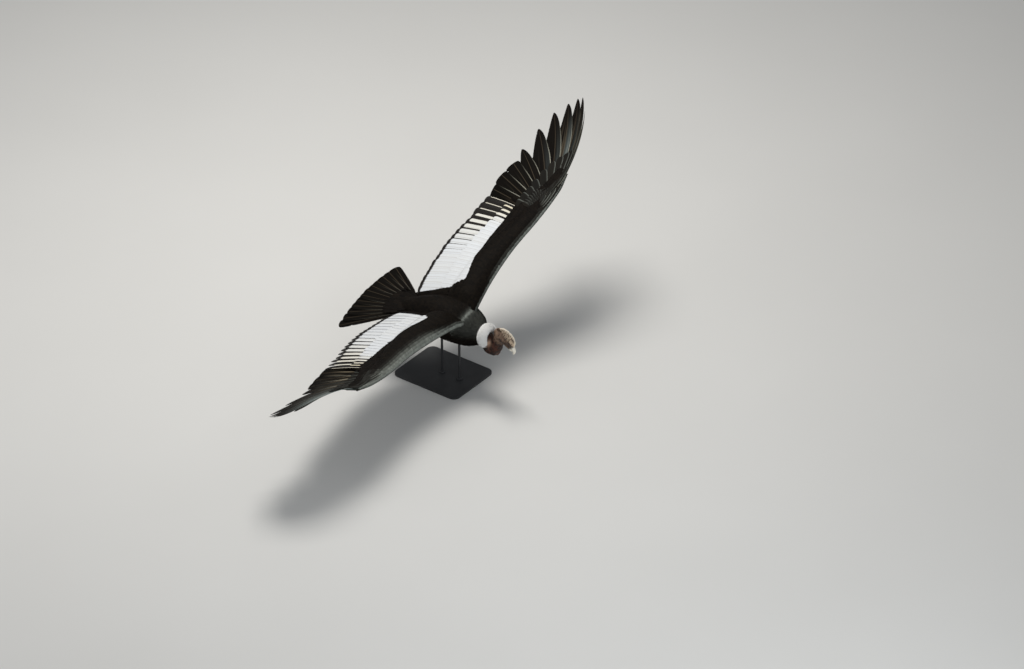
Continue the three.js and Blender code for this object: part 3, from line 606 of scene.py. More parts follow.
def primary_line(i, right, start=0.0, reach=1.0, lift=0.0):
    i = column_of(i)

    def where(s):
        s = start + s * reach
        at = primary_point(i, s, right)
        ahead = primary_point(i, s + 0.01, right) - primary_point(i, s - 0.01, right)
        normal = unit(np.cross(ahead, primary_point(i + 0.5, s, right) - primary_point(i - 0.5, s, right)))
        normal = normal * np.where(normal[..., 2:] < 0, -1, 1)
        return at + np.array((0, 0, lift)), normal

    return where


def primaries(seed, right):
    """The closed inner primaries, and the outer ones with narrowed tips, spread on the left wing."""
    wider, outer, roll = (1.2, "tapered", 0.8) if right else (1.0, "fingered", 3.5)
    sets = []
    for n, kind in enumerate(("closed", outer)):
        i = np.arange(FIRST_FINGER, len(PRIMARY)) if n else np.arange(FIRST_FINGER)
        sets.append(feathers(
            primary_line(i, right), len(i), PRIMARY_WIDTH[i] * wider, kind, "primary", seed + n,
            ridge=0.001 + 0.0006 * n, splits=0.005, length=PRIMARY[i, 0], thick=(0.0020, 0.0010),
            roll=roll,
        ))
    return gathered(sets)


def q_of(t):
    """The coat's measure at a share of the chord."""
    return np.sqrt((np.asarray(t) + NOSE) ** 2 - NOSE**2)


# The front edge of the white panel: y, share of the chord
PANEL_FRONT = ((0.100, 0.24), (0.226, 0.262), (0.350, 0.345), (0.500, 0.385), (0.600, 0.405), (0.735, 0.46))


# The row of greater coverts: the tips' share of the chord, and how far ahead of the panel they start
GREATER = {
    "count": 21, "from": 0.150, "to": 0.712, "tip": 0.62, "stagger": 0.02, "ahead": 0.10, "width": 0.048,
}


def greater_coverts(seed, right):
    n = GREATER["count"]
    share = np.arange(n) / (n - 1)
    y = mix(GREATER["from"], GREATER["to"], share)
    tip = GREATER["tip"] - GREATER["stagger"] * (np.arange(n) % 2)
    start = np.interp(y, *np.array(PANEL_FRONT).T) - GREATER["ahead"]
    outward = mix(0.004, 0.022, share)
    line = wing_line(y, q_of(start), y + outward, q_of(tip), 0.0005, 0.0048, coat_point)
    line = hanging(line, right_droop(y, right) * 0.27)
    return feathers(line, n, GREATER["width"], "covert", "greater", seed, ridge=0.0005, splits=0.03,
                    cup=0.02, length=chord(y) * (tip - start))


# How far out the small feathers' roots and tips lie, and how much more the tips of the rear rows
COAT_OUT = {"root": -0.003, "tip": 0.0025, "rear_row": 0.0025}
REAR_ROWS = 0.7  # from this share of the way to the panel on
ROW_GAP = (0.55, 0.36)  # from feather to feather, in front and behind, as shares of their width
LARGE_WIDTH = 0.03  # wider feathers are meshed more finely


def coat_rows(front, rows, span, side, seed, length, width, sweep=0.25, sheen=0.17):
    """Rows of small feathers over the wing's coat, shingled back to a front line of the panel."""
    rng = np.random.default_rng(seed)
    sets = []
    for n, f in enumerate(rows):
        wide, long = mix(*width, f), mix(*length, f)
        gap = wide * mix(*ROW_GAP, f)
        y = np.arange(*span, gap) + gap * 0.5 * (n % 2)
        y = y + rng.normal(0, gap * 0.12, len(y))
        long = long * rng.uniform(0.9, 1.1, len(y))
        tip = q_of(np.interp(y, *np.array(front).T) * f) + rng.normal(0, 0.0016, len(y))
        root = tip - long / chord(y)
        tip_out = COAT_OUT["tip"] + COAT_OUT["rear_row"] * (f > REAR_ROWS)
        line = wing_line(y, side * root, y + long * sweep, side * tip, COAT_OUT["root"], tip_out, coat_point)
        outline, grain = ("covert", "middling") if wide > LARGE_WIDTH else ("contour", "small")
        made = feathers(line, len(y), wide, outline, grain, seed + n, roll=1.5 * side, thick=SMALL_THICK,
                        cup=0.06, length=long)
        # a pale grey-green sheen painted on the front rows at the leading edge, fading back and narrower near
        # the body
        reach = sheen * np.clip((made["root"][:, 1] - 0.02) / 0.28, 0.45, 1)
        sets.append(valued(made, sheen=np.exp(-((f / reach) ** 2))))
    return gathered(sets)


UPPER_ROWS = (0.03, 0.10, 0.18, 0.26, 0.35, 0.44, 0.54, 0.64, 0.75, 0.87, 1.0)
UNDER_FRONT = ((0.05, 0.50), (0.735, 0.46), (1.0, 0.30))
HAND_FRONT = ((0.70, 0.44), (0.80, 0.34), (0.90, 0.26), (1.0, 0.16))


def upper_coverts(seed, sheen):
    arm = coat_rows(PANEL_FRONT, UPPER_ROWS, (0.055, 0.735), 1, seed, (0.024, 0.070), (0.017, 0.038),
                    sheen=sheen)
    # the sheen painted along the hand's leading edge is stronger
    hand = coat_rows(HAND_FRONT, UPPER_ROWS[::2], (0.73, 0.972), 1, seed + 40, (0.024, 0.05),
                     (0.016, 0.028), 0.7, sheen * 1.5)
    return gathered([arm, hand])


def under_coverts(seed):
    arm = coat_rows(UNDER_FRONT, UPPER_ROWS, (0.085, 0.74), -1, seed, (0.026, 0.085), (0.018, 0.042))
    hand = coat_rows(HAND_FRONT, UPPER_ROWS[::2], (0.73, 0.982), -1, seed + 40, (0.024, 0.06),
                     (0.016, 0.030), 0.7)
    return gathered([arm, hand])


LONG_COVERT = {"start": 0.02, "reach": 0.36, "lift": 0.0065, "width": 0.046}
SHORT_COVERT = {"starts": (-0.06, 0.0, 0.06), "length": 0.062, "lift": 0.010, "width": 0.026}
# The alula's feathers: y and share of the chord at the first one's root and tip, and the steps from
# one to the next
ALULA = {
    "root": (0.770, 0.05), "root_step": (0.010, 0.03), "tip": (0.898, 0.06), "tip_step": (-0.026, 0.035),
    "count": 3, "width": 0.028, "length": 0.12, "lift": 0.004,
}
# Sheen painted on the long coverts, the alula and the short coverts: all over, and more on the outer
# edge, where the grey-green stands for pale fringes as well
HAND_PAINTED_SHEEN = ((0.03, 0.50), (0.08, 0.75), (0.02, 0.22))


def hand_coverts(seed, right):
    """The long coverts over the primaries' roots, and the alula on the wrist."""
    i = np.arange(len(PRIMARY))
    line = primary_line(i, right, LONG_COVERT["start"], LONG_COVERT["reach"], LONG_COVERT["lift"])
    long = feathers(line, len(i), LONG_COVERT["width"], "covert", "hand", seed, ridge=0.0006, splits=0.03,
                    length=PRIMARY[i, 0] * LONG_COVERT["reach"])
    n = np.arange(ALULA["count"])
    (y0, t0), (y1, t1) = (
        [start + step * n for start, step in zip(ALULA[end], ALULA[end + "_step"])] for end in ("root", "tip")
    )
    line = wing_line(y0, q_of(t0), y1, q_of(t1), 0.0, ALULA["lift"], coat_point)
    alula = feathers(line, ALULA["count"], ALULA["width"], "covert", "middling", seed + 1,
                     length=ALULA["length"])
    short = []
    for n, start in enumerate(SHORT_COVERT["starts"]):
        i = np.arange(0.2, 9.9, 0.42) + 0.2 * (n % 2)
        reach = SHORT_COVERT["length"] / np.interp(i, range(len(PRIMARY)), PRIMARY[:, 0])
        line = primary_line(i, right, start, column_of(reach), SHORT_COVERT["lift"])
        short.append(feathers(line, len(i), SHORT_COVERT["width"], "contour", "small", seed + 3 + n, roll=1.5,
                              length=SHORT_COVERT["length"]))
    sets = [long, alula, gathered(short)]
    for made, (plain, edge) in zip(sets, HAND_PAINTED_SHEEN):
        valued(made, sheen=plain + edge * np.clip((made["across"] - 0.55) / 0.45, 0, 1))
    return gathered(sets)


# The inner edge of the white panel, under the black feathers of the shoulder: share of the chord, y
PANEL_INNER = ((0.20, 0.222), (0.27, 0.190), (0.38, 0.160), (0.50, 0.139), (0.73, 0.114), (1.0, 0.098))


# The shoulder's rows: tips of the first and the last one as shares of the chord, and from the one to
# the other the feathers' width and length, how far they lean inwards, and how far out their tips lie
SCAPULARS = {
    "rows": 15, "tips": (0.27, 0.985), "width": (0.034, 0.050), "length": (0.085, 0.150),
    "inwards": (0.015, 0.004), "tip_out": (0.0035, 0.006), "root_out": -0.002, "gap": 0.017,
    "inmost": 0.02, "chord": 0.43,
}


def scapulars(seed):
    """Long black feathers of the shoulder, laid back over the inner wing up to the white panel."""
    rng = np.random.default_rng(seed)
    sets = []
    for n, tip in enumerate(np.linspace(*SCAPULARS["tips"], SCAPULARS["rows"])):
        wide, long, inwards, tip_out = (
            mix(*SCAPULARS[key], tip) for key in ("width", "length", "inwards", "tip_out")
        )
        edge = np.interp(tip, *np.array(PANEL_INNER).T) - OUTER_SHARE * wide
        y = np.arange(edge, SCAPULARS["inmost"], -SCAPULARS["gap"])
        long = long * rng.uniform(0.93, 1.07, len(y))
        root = q_of(np.maximum(tip - long / SCAPULARS["chord"], 0.02))
        line = wing_line(y - inwards, root, y, q_of(tip), SCAPULARS["root_out"], tip_out, coat_point)
        sets.append(feathers(line, len(y), wide, "covert", "shoulder", seed + n, roll=1.5, cup=0.05,
                             ridge=0.0004, splits=0.01, length=long))
    return valued(gathered(sets), sheen=0.0)


# The tail: a fan of feathers about an apex
TAIL = {
    "apex": -0.120, "half": math.radians(33), "middle": 0.492, "corner": 0.546, "droop": 0.022,
    "lie": -0.014,
}
# The tail's coverts, row by row: how far they reach from the apex, and how far off the feathers
TAIL_COVERTS = ((0.315, 0.007), (0.268, 0.013), (0.222, 0.020))


def fan(u, root, reach, lift, width, outline, grain, seed, **rest):
    """Feathers of the tail fan: u runs from -1 at the right corner to 1 at the left."""
    u = np.asarray(u, float)
    edge = OUTER_SHARE * width / TAIL["corner"]
    angle = column_of(u * (TAIL["half"] - edge))
    u_c, reach, lift = column_of(u), column_of(reach), column_of(np.broadcast_to(lift, u.shape))
    tip = stack(TAIL["apex"] - reach * np.cos(angle), reach * np.sin(angle), 0.0)
    start = stack(root[0] + 0 * u_c, root[1] * u_c, 0.0)
    full = mix(TAIL["middle"], TAIL["corner"], u_c**2)

    def where(s):
        at = start + (tip - start) * s[..., None]
        away = np.clip(np.hypot(at[..., 0] - TAIL["apex"], at[..., 1]) / full, 0, 1)
        at[..., 2] = mix(TAIL["lie"], -TAIL["droop"] * u_c**2, away) + lift
        lean = stack(0 * s, 0.08 * u_c + 0 * s, 1.0)
        return at, unit(lean)

    return feathers(where, len(u), width, outline, grain, seed, **rest)


def tail_feathers(seed):
    """Six feathers to each side; the outer web is the one away from the middle."""
    u = (np.arange(6) * 2 + 1) / 11
    reach = mix(TAIL["middle"], TAIL["corner"], u**2)
    sets = []
    for side, way in SIDES.items():
        lift = np.where(u < 0.12, 0.0032 if side == "left" else 0.0012, 0.0)
        made = fan(u, (-0.268, 0.046), reach, lift, 0.078, "broad", "fine", seed + way,
                   ridge=0.001, splits=0.02, length=reach - 0.148)
        sets.append(on_side(made, side))
    return gathered(sets)


def tail_coverts(seed, over):
    sets = []
    for side, way in SIDES.items():
        for n, (reach, lift) in enumerate(TAIL_COVERTS):
            u = (np.arange(4) + (0.5 if n % 2 else 0.15)) / 4.4
            lift, cup = (lift, 0.1) if over else (-lift - 0.004, -0.1)
            made = fan(u * 0.85, (-0.250, 0.050), reach - 0.02 * u**2, lift, 0.052, "covert", "shoulder",
                       seed + n + way, cup=cup, splits=0.03, length=0.1)
            sets.append(on_side(made, side))
    return valued(gathered(sets), sheen=0.0)


BODY_OUT = (-0.007, 0.0015)  # how far out the roots and the tips of the body's feathers lie


def body_line(table, x, angle, long, flow):
    """Lines running back over a body of ovals, drifting round it by flow."""
    x, angle, long, flow = map(column_of, (x, angle, long, flow))
    return lambda s: oval_point(table, x - long * s, angle + flow * s, mix(*BODY_OUT, s))


def body_coat(table, span, step, length, width, seed):
    """Small feathers over a body of ovals in staggered rows. step, length and width run along the span."""
    rng = np.random.default_rng(seed)
    xs, angles, longs, wides = [], [], [], []
    x, n = span[0], 0
    while x > span[1]:
        share = (x - span[0]) / (span[1] - span[0])
        gap, long, wide = (np.interp(share, np.linspace(0, 1, len(m)), m) for m in (step, length, width))
        around = 2 * np.pi * math.sqrt((along(table, WIDE, x) ** 2 + along(table, TALL, x) ** 2) / 2)
        count = int(around / (wide * 0.58))
        stagger = (np.arange(count) + 0.5 * (n % 2)) / count * 2 * np.pi
        angles.append(stagger + rng.normal(0, 0.12 / count, count))
        xs.append(np.full(count, x) + rng.normal(0, long * 0.05, count))
        longs.append(long * rng.uniform(0.88, 1.12, count))
        wides.append(np.full(count, wide))
        x -= gap
        n += 1
    x, angle, long, wide = map(np.concatenate, (xs, angles, longs, wides))
    line = body_line(table, x, angle, long, rng.normal(0, 0.05, len(x)))
    made = feathers(line, len(x), wide, "contour", "small", seed, roll=1.5, thick=SMALL_THICK, cup=0.1,
                    length=long)
    return valued(made, root_a=np.repeat(angle % (2 * np.pi), len(made["points"]) // len(x)))


# Colours of the finishes, as linear light
COLOURS = {
    "coat_black": (0.0042, 0.0035, 0.0030),
    "coat_brown": (0.012, 0.0088, 0.0062),
    # painted sheen: the grey-green light that glossy black feathers reflect, put into their colour
    "coat_sheen": (0.250, 0.270, 0.245),
    "panel_white": (0.72, 0.75, 0.785),
    "panel_cream": (0.76, 0.68, 0.46),
    "panel_barbs": (0.46, 0.47, 0.50),
    "panel_shaft": (0.30, 0.24, 0.17),
    "panel_seam": (0.25, 0.20, 0.15),
    "panel_black": (0.012, 0.010, 0.009),
    "panel_below": (0.045, 0.045, 0.046),
    "flight_brown": (0.055, 0.043, 0.031),
    "flight_tan": (0.250, 0.215, 0.150),
    # painted reflection of the sky on the primaries' outer webs
    "flight_blue": (0.420, 0.510, 0.510),
    "flight_rim": (0.42, 0.41, 0.34),
    "flight_shaft": (0.075, 0.058, 0.040),
    "flight_barbs": (0.040, 0.036, 0.030),
    "down_white": (0.99, 0.99, 0.985),
    "down_ivory": (0.95, 0.945, 0.92),
    "steel_dark": (0.018, 0.019, 0.021),
    "steel_worn": (0.032, 0.033, 0.035),
    "floor_dark": (0.62, 0.62, 0.61),
    "floor_pale": (0.66, 0.66, 0.65),
    "covered_skin": (0.012, 0.010, 0.009),
    # the throat's own dark red skin, painted near black as shade under the head
    "throat_dark": (0.008, 0.003, 0.002),
    "throat_red": (0.070, 0.023, 0.012),
    "nape_pink": (0.56, 0.36, 0.25),
    "comb_streak": (0.060, 0.032, 0.020),
    "comb_tan": (0.62, 0.49, 0.36),
    # painted highlight on the comb's top edge
    "comb_edge": (0.84, 0.76, 0.62),
    "face_dark": (0.036, 0.019, 0.013),
    "face_tan": (0.215, 0.140, 0.095),
    # painted shade below the comb, at the eye's height
    "lore_dark": (0.030, 0.018, 0.014),
    "scale_gap": (0.035, 0.034, 0.033),
    "scale_grey": (0.13, 0.128, 0.12),
    "bill_ivory": (0.96, 0.93, 0.84),
    "bill_yellow": (0.80, 0.73, 0.58),
    "bill_base": (0.040, 0.028, 0.022),
    "bill_lines": (0.30, 0.23, 0.15),
    "claw_black": (0.012, 0.011, 0.010),
    "claw_brown": (0.050, 0.043, 0.036),
    "iris_dark": (0.030, 0.012, 0.006),
    "iris_brown": (0.085, 0.036, 0.016),
    "pupil": (0.002, 0.002, 0.002),
    "eye_rim": (0.008, 0.005, 0.004),
}


def node(tree, kind, inputs=None, **settings):
    """A shader node with its settings, and its inputs set to values or joined to other nodes' outputs."""
    made = tree.nodes.new("ShaderNode" + kind)
    for key, value in settings.items():
        setattr(made, key, value)
    for key, value in (inputs or {}).items():
        if isinstance(value, bpy.types.NodeSocket):
            tree.links.new(value, made.inputs[key])
        else:
            made.inputs[key].default_value = value
    return made


def number(tree, operation, a, b=0.0, clamp=False):
    return node(tree, "Math", {0: a, 1: b}, operation=operation, use_clamp=clamp).outputs[0]


def times(tree, a, b, clamp=False):
    return number(tree, "MULTIPLY", a, b, clamp)


def plus(tree, a, b, clamp=False):
    return number(tree, "ADD", a, b, clamp)


def raised(tree, start, value, by):
    """From a start, higher where the value is."""
    return node(tree, "Math", {0: value, 1: by, 2: start}, operation="MULTIPLY_ADD").outputs[0]


def cloud_of(tree, place, scale, detail=4.0, **inputs):
    """A soft, irregular pattern."""
    inputs = {"Vector": place, "Scale": scale, "Detail": detail, **inputs}
    return node(tree, "TexNoise", inputs).outputs["Fac"]


def on_object(tree):
    return node(tree, "TexCoord").outputs["Object"]


def painted(colour):
    """A named colour as a socket takes it, or another node's colour as it is."""
    return (*COLOURS[colour], 1.0) if isinstance(colour, str) else colour


def blend(tree, share, a, b):
    inputs = {"Factor": share, 6: painted(a), 7: painted(b)}
    return node(tree, "Mix", inputs, data_type="RGBA").outputs[2]


def ramp(tree, value, low, high):
    """A smooth step from 0 at low to 1 at high."""
    made = node(tree, "MapRange", {"Value": value, "From Min": low, "From Max": high},
                interpolation_type="SMOOTHSTEP")
    return made.outputs["Result"]


def value_of(tree, name):
    return node(tree, "Attribute", attribute_name=name).outputs["Fac"]


def off_shaft(tree, across):
    return number(tree, "ABSOLUTE", across)


def barbs_group():
    """Fine parallel barbs slanting off a feather's shaft: their height, an uneven shade and the shaft."""
    group = bpy.data.node_groups.new("feather_barbs", "ShaderNodeTree")
    sockets = {"INPUT": ("Along", "Across", "Tone", "Count", "Slant"), "OUTPUT": ("Height", "Shade", "Shaft")}
    for way, names in sockets.items():
        for name in names:
            group.interface.new_socket(name=name, in_out=way, socket_type="NodeSocketFloat")
    ins = group.nodes.new("NodeGroupInput").outputs
    out = group.nodes.new("NodeGroupOutput")
    lean = times(group, off_shaft(group, ins["Across"]), ins["Slant"])
    barb = times(group, number(group, "SUBTRACT", ins["Along"], lean), ins["Count"])
    lane = node(group, "CombineXYZ", {
        "X": barb, "Y": times(group, ins["Across"], 1.5), "Z": times(group, ins["Tone"], 40.0),
    }).outputs[0]
    shade = cloud_of(group, lane, 1.0, 3.0, Roughness=0.6)
    line = number(group, "SINE", times(group, barb, 6.283))
    height = plus(group, times(group, line, 0.25), shade)
    shaft = ramp(group, off_shaft(group, ins["Across"]), 0.055, 0.03)
    height = plus(group, height, times(group, shaft, 2.0))
    for name, value in (("Height", height), ("Shade", shade), ("Shaft", shaft)):
        group.links.new(value, out.inputs[name])
    return group


BARBS = barbs_group()


def new_material(name, inputs):
    made = bpy.data.materials.new(name)
    made.use_nodes = True
    shader = made.node_tree.nodes["Principled BSDF"]
    for key, value in inputs.items():
        shader.inputs[key].default_value = value
    return made, made.node_tree


def grown_barbs(tree, count, slant=0.1):
    made = node(tree, "Group", node_tree=BARBS)
    for name in ("along", "across", "tone"):
        tree.links.new(value_of(tree, name), made.inputs[name.capitalize()])
    made.inputs["Count"].default_value = count
    made.inputs["Slant"].default_value = slant
    return made.outputs


def finished(made, colour, rough=None, height=None, strength=0.3, depth=0.0003):
    """Joins a material's colour, roughness and fine relief to its shader."""
    tree = made.node_tree
    shader = tree.nodes["Principled BSDF"]
    tree.links.new(colour, shader.inputs["Base Color"])
    if rough is not None:
        tree.links.new(rough, shader.inputs["Roughness"])
    if height is not None:
        bump = node(tree, "Bump", {"Strength": strength, "Distance": depth, "Height": height})
        tree.links.new(bump.outputs[0], shader.inputs["Normal"])
    return made


def coat_material():
    """Brown-black small feathers, with a grey-green sheen painted on where the sheen value says."""
    made, tree = new_material("coat_feathers", {"Specular IOR Level": 0.035})
    barbs = grown_barbs(tree, 24.0, 0.45)
    tone = value_of(tree, "tone")
    dark = blend(tree, times(tree, tone, 0.55), "coat_black", "coat_brown")
    rim = ramp(tree, off_shaft(tree, value_of(tree, "across")), 0.5, 1.0)
    dark = blend(tree, times(tree, rim, 0.35), dark, "coat_brown")
    patchy = plus(tree, times(tree, tone, 0.5), barbs["Shade"])
    patchy = plus(tree, times(tree, patchy, 0.7), 0.35)
    # the painted sheen, mottled from feather to feather
    sheen = times(tree, value_of(tree, "sheen"), patchy, True)
    colour = blend(tree, sheen, dark, "coat_sheen")
    return finished(made, colour, raised(tree, 0.46, barbs["Shade"], 0.25), barbs["Height"], 0.5, 0.0004)


def panel_material():
    """White wing feathers: black tips, and black inner webs where the bound value reaches them."""
    made, tree = new_material("panel_feathers", {"Specular IOR Level": 0.16})
    barbs = grown_barbs(tree, 150.0)
    shade, across = barbs["Shade"], value_of(tree, "across")
    off = off_shaft(tree, across)
    warm = plus(tree, value_of(tree, "warm"), times(tree, value_of(tree, "tone"), 0.08), True)
    white = blend(tree, warm, "panel_white", "panel_cream")
    white = blend(tree, times(tree, shade, 0.22), white, "panel_barbs")
    white = blend(tree, times(tree, barbs["Shaft"], 0.35), white, "panel_shaft")
    seam = times(tree, ramp(tree, off, 0.90, 0.99), 0.4)
    white = blend(tree, seam, white, "panel_seam")
    wobble = times(tree, number(tree, "SUBTRACT", shade, 0.5), 0.012)
    round_off = times(tree, number(tree, "POWER", off, 4.0), 0.014)
    from_tip = number(tree, "SUBTRACT", plus(tree, value_of(tree, "from_tip"), wobble), round_off)
    tip = times(tree, ramp(tree, from_tip, 0.0225, 0.0175), value_of(tree, "tipped"))
    inside = number(tree, "SUBTRACT", value_of(tree, "bound"), across)
    web = ramp(tree, plus(tree, inside, times(tree, wobble, 12.0)), -0.04, 0.04)
    colour = blend(tree, number(tree, "MAXIMUM", tip, web), white, "panel_black")
    colour = blend(tree, ramp(tree, value_of(tree, "under"), 0.05, 0.2), colour, "panel_below")
    return finished(made, colour, raised(tree, 0.42, shade, 0.2), barbs["Height"], 0.5, 0.0006)


def flight_material():
    """Dark flight feathers with brown streaks along the webs, a bluish-grey reflection of the sky painted on
    the outer webs, paler outer edges and a horn shaft.
    """
    made, tree = new_material("flight_feathers", {"Specular IOR Level": 0.015})
    barbs = grown_barbs(tree, 200.0)
    across, lengthwise = value_of(tree, "across"), value_of(tree, "along")
    lane = node(tree, "CombineXYZ", {
        "X": times(tree, across, 5.0), "Y": times(tree, lengthwise, 1.4),
        "Z": times(tree, value_of(tree, "tone"), 30.0),
    }).outputs[0]
    to_tip = ramp(tree, lengthwise, 0.95, 0.45)
    streaks = times(tree, ramp(tree, cloud_of(tree, lane, 1.0, 3.0), 0.48, 0.72), to_tip)
    outer = times(tree, ramp(tree, across, -0.1, 0.5), to_tip)
    # a reflection of the sky, painted on the outer web
    blue = times(tree, times(tree, outer, value_of(tree, "blue")), raised(tree, 0.4, streaks, 0.6))
    rim = times(tree, ramp(tree, across, 0.84, 0.98), to_tip)
    # streaks and tan: the feathers' own brown, and on the right hand also painted sheen
    base = blend(tree, times(tree, streaks, value_of(tree, "streak")), "coat_black", "flight_brown")
    base = blend(tree, times(tree, streaks, value_of(tree, "tan")), base, "flight_tan")
    base = blend(tree, blue, base, "flight_blue")
    base = blend(tree, times(tree, rim, value_of(tree, "pale")), base, "flight_rim")
    base = blend(tree, times(tree, barbs["Shaft"], 0.6), base, "flight_shaft")
    colour = blend(tree, times(tree, barbs["Shade"], 0.10), base, "flight_barbs")
    return finished(made, colour, raised(tree, 0.48, barbs["Shade"], 0.22), barbs["Height"], 0.5, 0.0006)


def down_material():
    soft = {"Roughness": 0.9, "Sheen Weight": 0.35, "Specular IOR Level": 0.3}
    made, tree = new_material("white_down", soft)
    cloud = cloud_of(tree, on_object(tree), 60.0)
    shade = plus(tree, times(tree, cloud, 0.5), times(tree, value_of(tree, "tone"), 0.3))
    return finished(made, blend(tree, shade, "down_white", "down_ivory"), None, cloud, 0.3, 0.001)


def stand_material():
    """Powder-coated steel, a little worn."""
    made, tree = new_material("stand_coating", {"Metallic": 0.0, "Specular IOR Level": 0.45})
    place = on_object(tree)
    cloud = cloud_of(tree, place, 9.0, 5.0)
    colour = blend(tree, ramp(tree, cloud, 0.35, 0.7), "steel_dark", "steel_worn")
    return finished(made, colour, raised(tree, 0.35, cloud, 0.3), cloud_of(tree, place, 900.0, 2.0), 0.35)


def floor_material():
    made, tree = new_material("floor_paint", {"Roughness": 0.7, "Specular IOR Level": 0.2})
    return finished(made, blend(tree, cloud_of(tree, on_object(tree), 0.8), "floor_dark", "floor_pale"))


# How strong each tint is on the ten primaries, from the inmost out. The bluish tint is a painted
# reflection of the sky; on the right hand, seen at a grazing angle, the stronger streaks and tan
# are painted sheen over the brown streaks that both hands have.
PRIMARY_TINTS = {
    "left": {
        "streak": (0.3, 0.3, 0.3, 0.2, 0.2, 0.2, 0.5, 0.9, 0.9, 0.7),
        "tan": (0, 0, 0, 0, 0, 0, 0.15, 0.3, 0.35, 0.3),
        "blue": (0, 0, 0, 0, 0.10, 0.10, 0.35, 0.10, 0.1, 0.2),
        "pale": (0.8, 0.85, 0.8, 0.7, 0.9, 0.7, 0.6, 0.5, 0.5, 0.6),
    },
    "right": {
        "streak": (1, 1, 0.8, 0.7, 0.5, 0.4, 0.3, 0.2, 0.2, 0.2),
        "tan": (0.95, 0.8, 0.6, 0.45, 0.35, 0.25, 0.15, 0.05, 0, 0),
        "blue": (0, 0, 0.1, 0.1, 0.2, 0.3, 0.6, 1, 1, 1),
        "pale": (0.5, 0.6, 0.6, 0.5, 0.5, 0.5, 0.5, 0.7, 0.9, 0.9),
    },
}


# Each wing's first seed, how many feathers further in the black of its secondaries starts, how much
# more black their hanging tips show, and how far back the painted sheen of the leading edge runs
WING_LOOKS = {
    "left": {"seed": 11, "black_inwards": 0.0, "tips_blacker": 0.0, "sheen": 0.065},
    "right": {"seed": 57, "black_inwards": 1.8, "tips_blacker": 0.9, "sheen": 0.19},
}


def dress_wings():
    coat, panel, flight = coat_material(), panel_material(), flight_material()
    n = SECONDARY["count"]
    share = np.arange(n) / (n - 1)
    warm = np.clip((share - 0.5) / 0.5, 0, 1) * 0.6
    for side, its in WING_LOOKS.items():
        right, seed = side == "right", its["seed"]
        made = secondaries(seed, right)
        lane = made["lane"]
        bound = np.interp(np.arange(n) - its["black_inwards"], *zip(*INNER_BLACK))
        valued(made, bound=bound[lane], warm=warm[lane], tipped=1.0)
        made["from_tip"] = made["from_tip"] / (1 + its["tips_blacker"] * share[lane])
        piece_from("secondaries_" + side, on_side(made, side), panel, ["wing_arm_" + side])
        made = greater_coverts(seed + 1, right)
        covert = made["lane"] / (GREATER["count"] - 1)
        valued(made, bound=np.interp(covert, (0.82, 0.86, 1.0), (-1.3, -0.1, 0.45)), tipped=0.0,
               under=0.0, warm=np.clip((covert - 0.8) / 0.2, 0, 1) * 0.8)
        piece_from("greater_coverts_" + side, on_side(made, side), panel)
        made = primaries(seed + 2, right)
        for key, values in PRIMARY_TINTS[side].items():
            valued(made, **{key: np.array(values)[made["lane"]]})
        piece_from("primaries_" + side, on_side(made, side), flight, ["wing_hand_" + side])
        coats = [upper_coverts(seed + 3, its["sheen"]), hand_coverts(seed + 4, right), scapulars(seed + 5)]
        made = on_side(gathered(coats), side)
        piece_from("upper_coverts_" + side, made, coat, layout=on_wing)
        made = under_coverts(seed + 6)
        # a weaker sheen painted along the underside's leading edge
        made["sheen"] = made["sheen"] * 0.4
        piece_from("under_coverts_" + side, on_side(made, side), coat, layout=on_wing)
    made = valued(tail_feathers(5), streak=0.12, pale=0.2, tan=0.0, blue=0.0)
    piece_from("tail_feathers", made, flight, ["tail"])
    return coat


SHOULDER_Y = 0.045  # the wing's front edge leaves the trunk here


def painted_body_sheen(made):
    """A sheen painted as a pale line over the shoulders in front, and as an olive cast on the top of the
    neck's root.
    """
    x, up = made["points"][:, 0], np.sin(made["root_a"])
    out = np.abs(made["points"][:, 1])
    on_arm = along(WING, LEAD, np.maximum(out, 0.02)) - 0.010
    front = np.where(out > SHOULDER_Y, on_arm, 0.126) - 0.055 * (1 - up)
    off = (x - front) / 0.0055
    # painted only where the feathers face up, as light falls from above
    line = (0.75 * np.exp(-(off**2)) + 0.3 * np.exp(-((off / 3) ** 2))) * np.clip(up * 2.5 - 0.5, 0, 1)
    neck = 0.13 * np.clip((x - front) / 0.02, 0, 1) * np.clip(up * 1.6, 0, 1)
    return valued(made, sheen=np.clip(line * 0.8 + neck, 0, 1))


def dress_body(coat):
    trunk = body_coat(TRUNK, (0.212, -0.262), (0.008, 0.012, 0.015, 0.016, 0.016),
                      (0.022, 0.034, 0.046, 0.052, 0.055), (0.014, 0.022, 0.028, 0.030, 0.030), 21)
    rump = body_coat(TRUNK[-3:-1] + WEDGE[1:], (-0.205, -0.372), (0.013,), (0.060,), (0.034,), 25)
    made = painted_body_sheen(gathered([trunk, rump, mantle(27)]))
    piece_from("body_coat", made, coat, layout=round_body)
    thighs = []
    for seed, side in ((31, "left"), (32, "right")):
        made = body_coat(THIGH, (-0.115, -0.296), (0.012,), (0.036,), (0.020,), seed)
        thighs.append(on_side(made, side))
    piece_from("thigh_coat", valued(gathered(thighs), sheen=0.0), coat, layout=round_body)
    piece_from("tail_coverts", gathered([tail_coverts(41, True), tail_coverts(45, False)]), coat)


BACK_BLEND = 0.011  # over what height the trunk and the wing run together
BACK_UNDER = 0.006


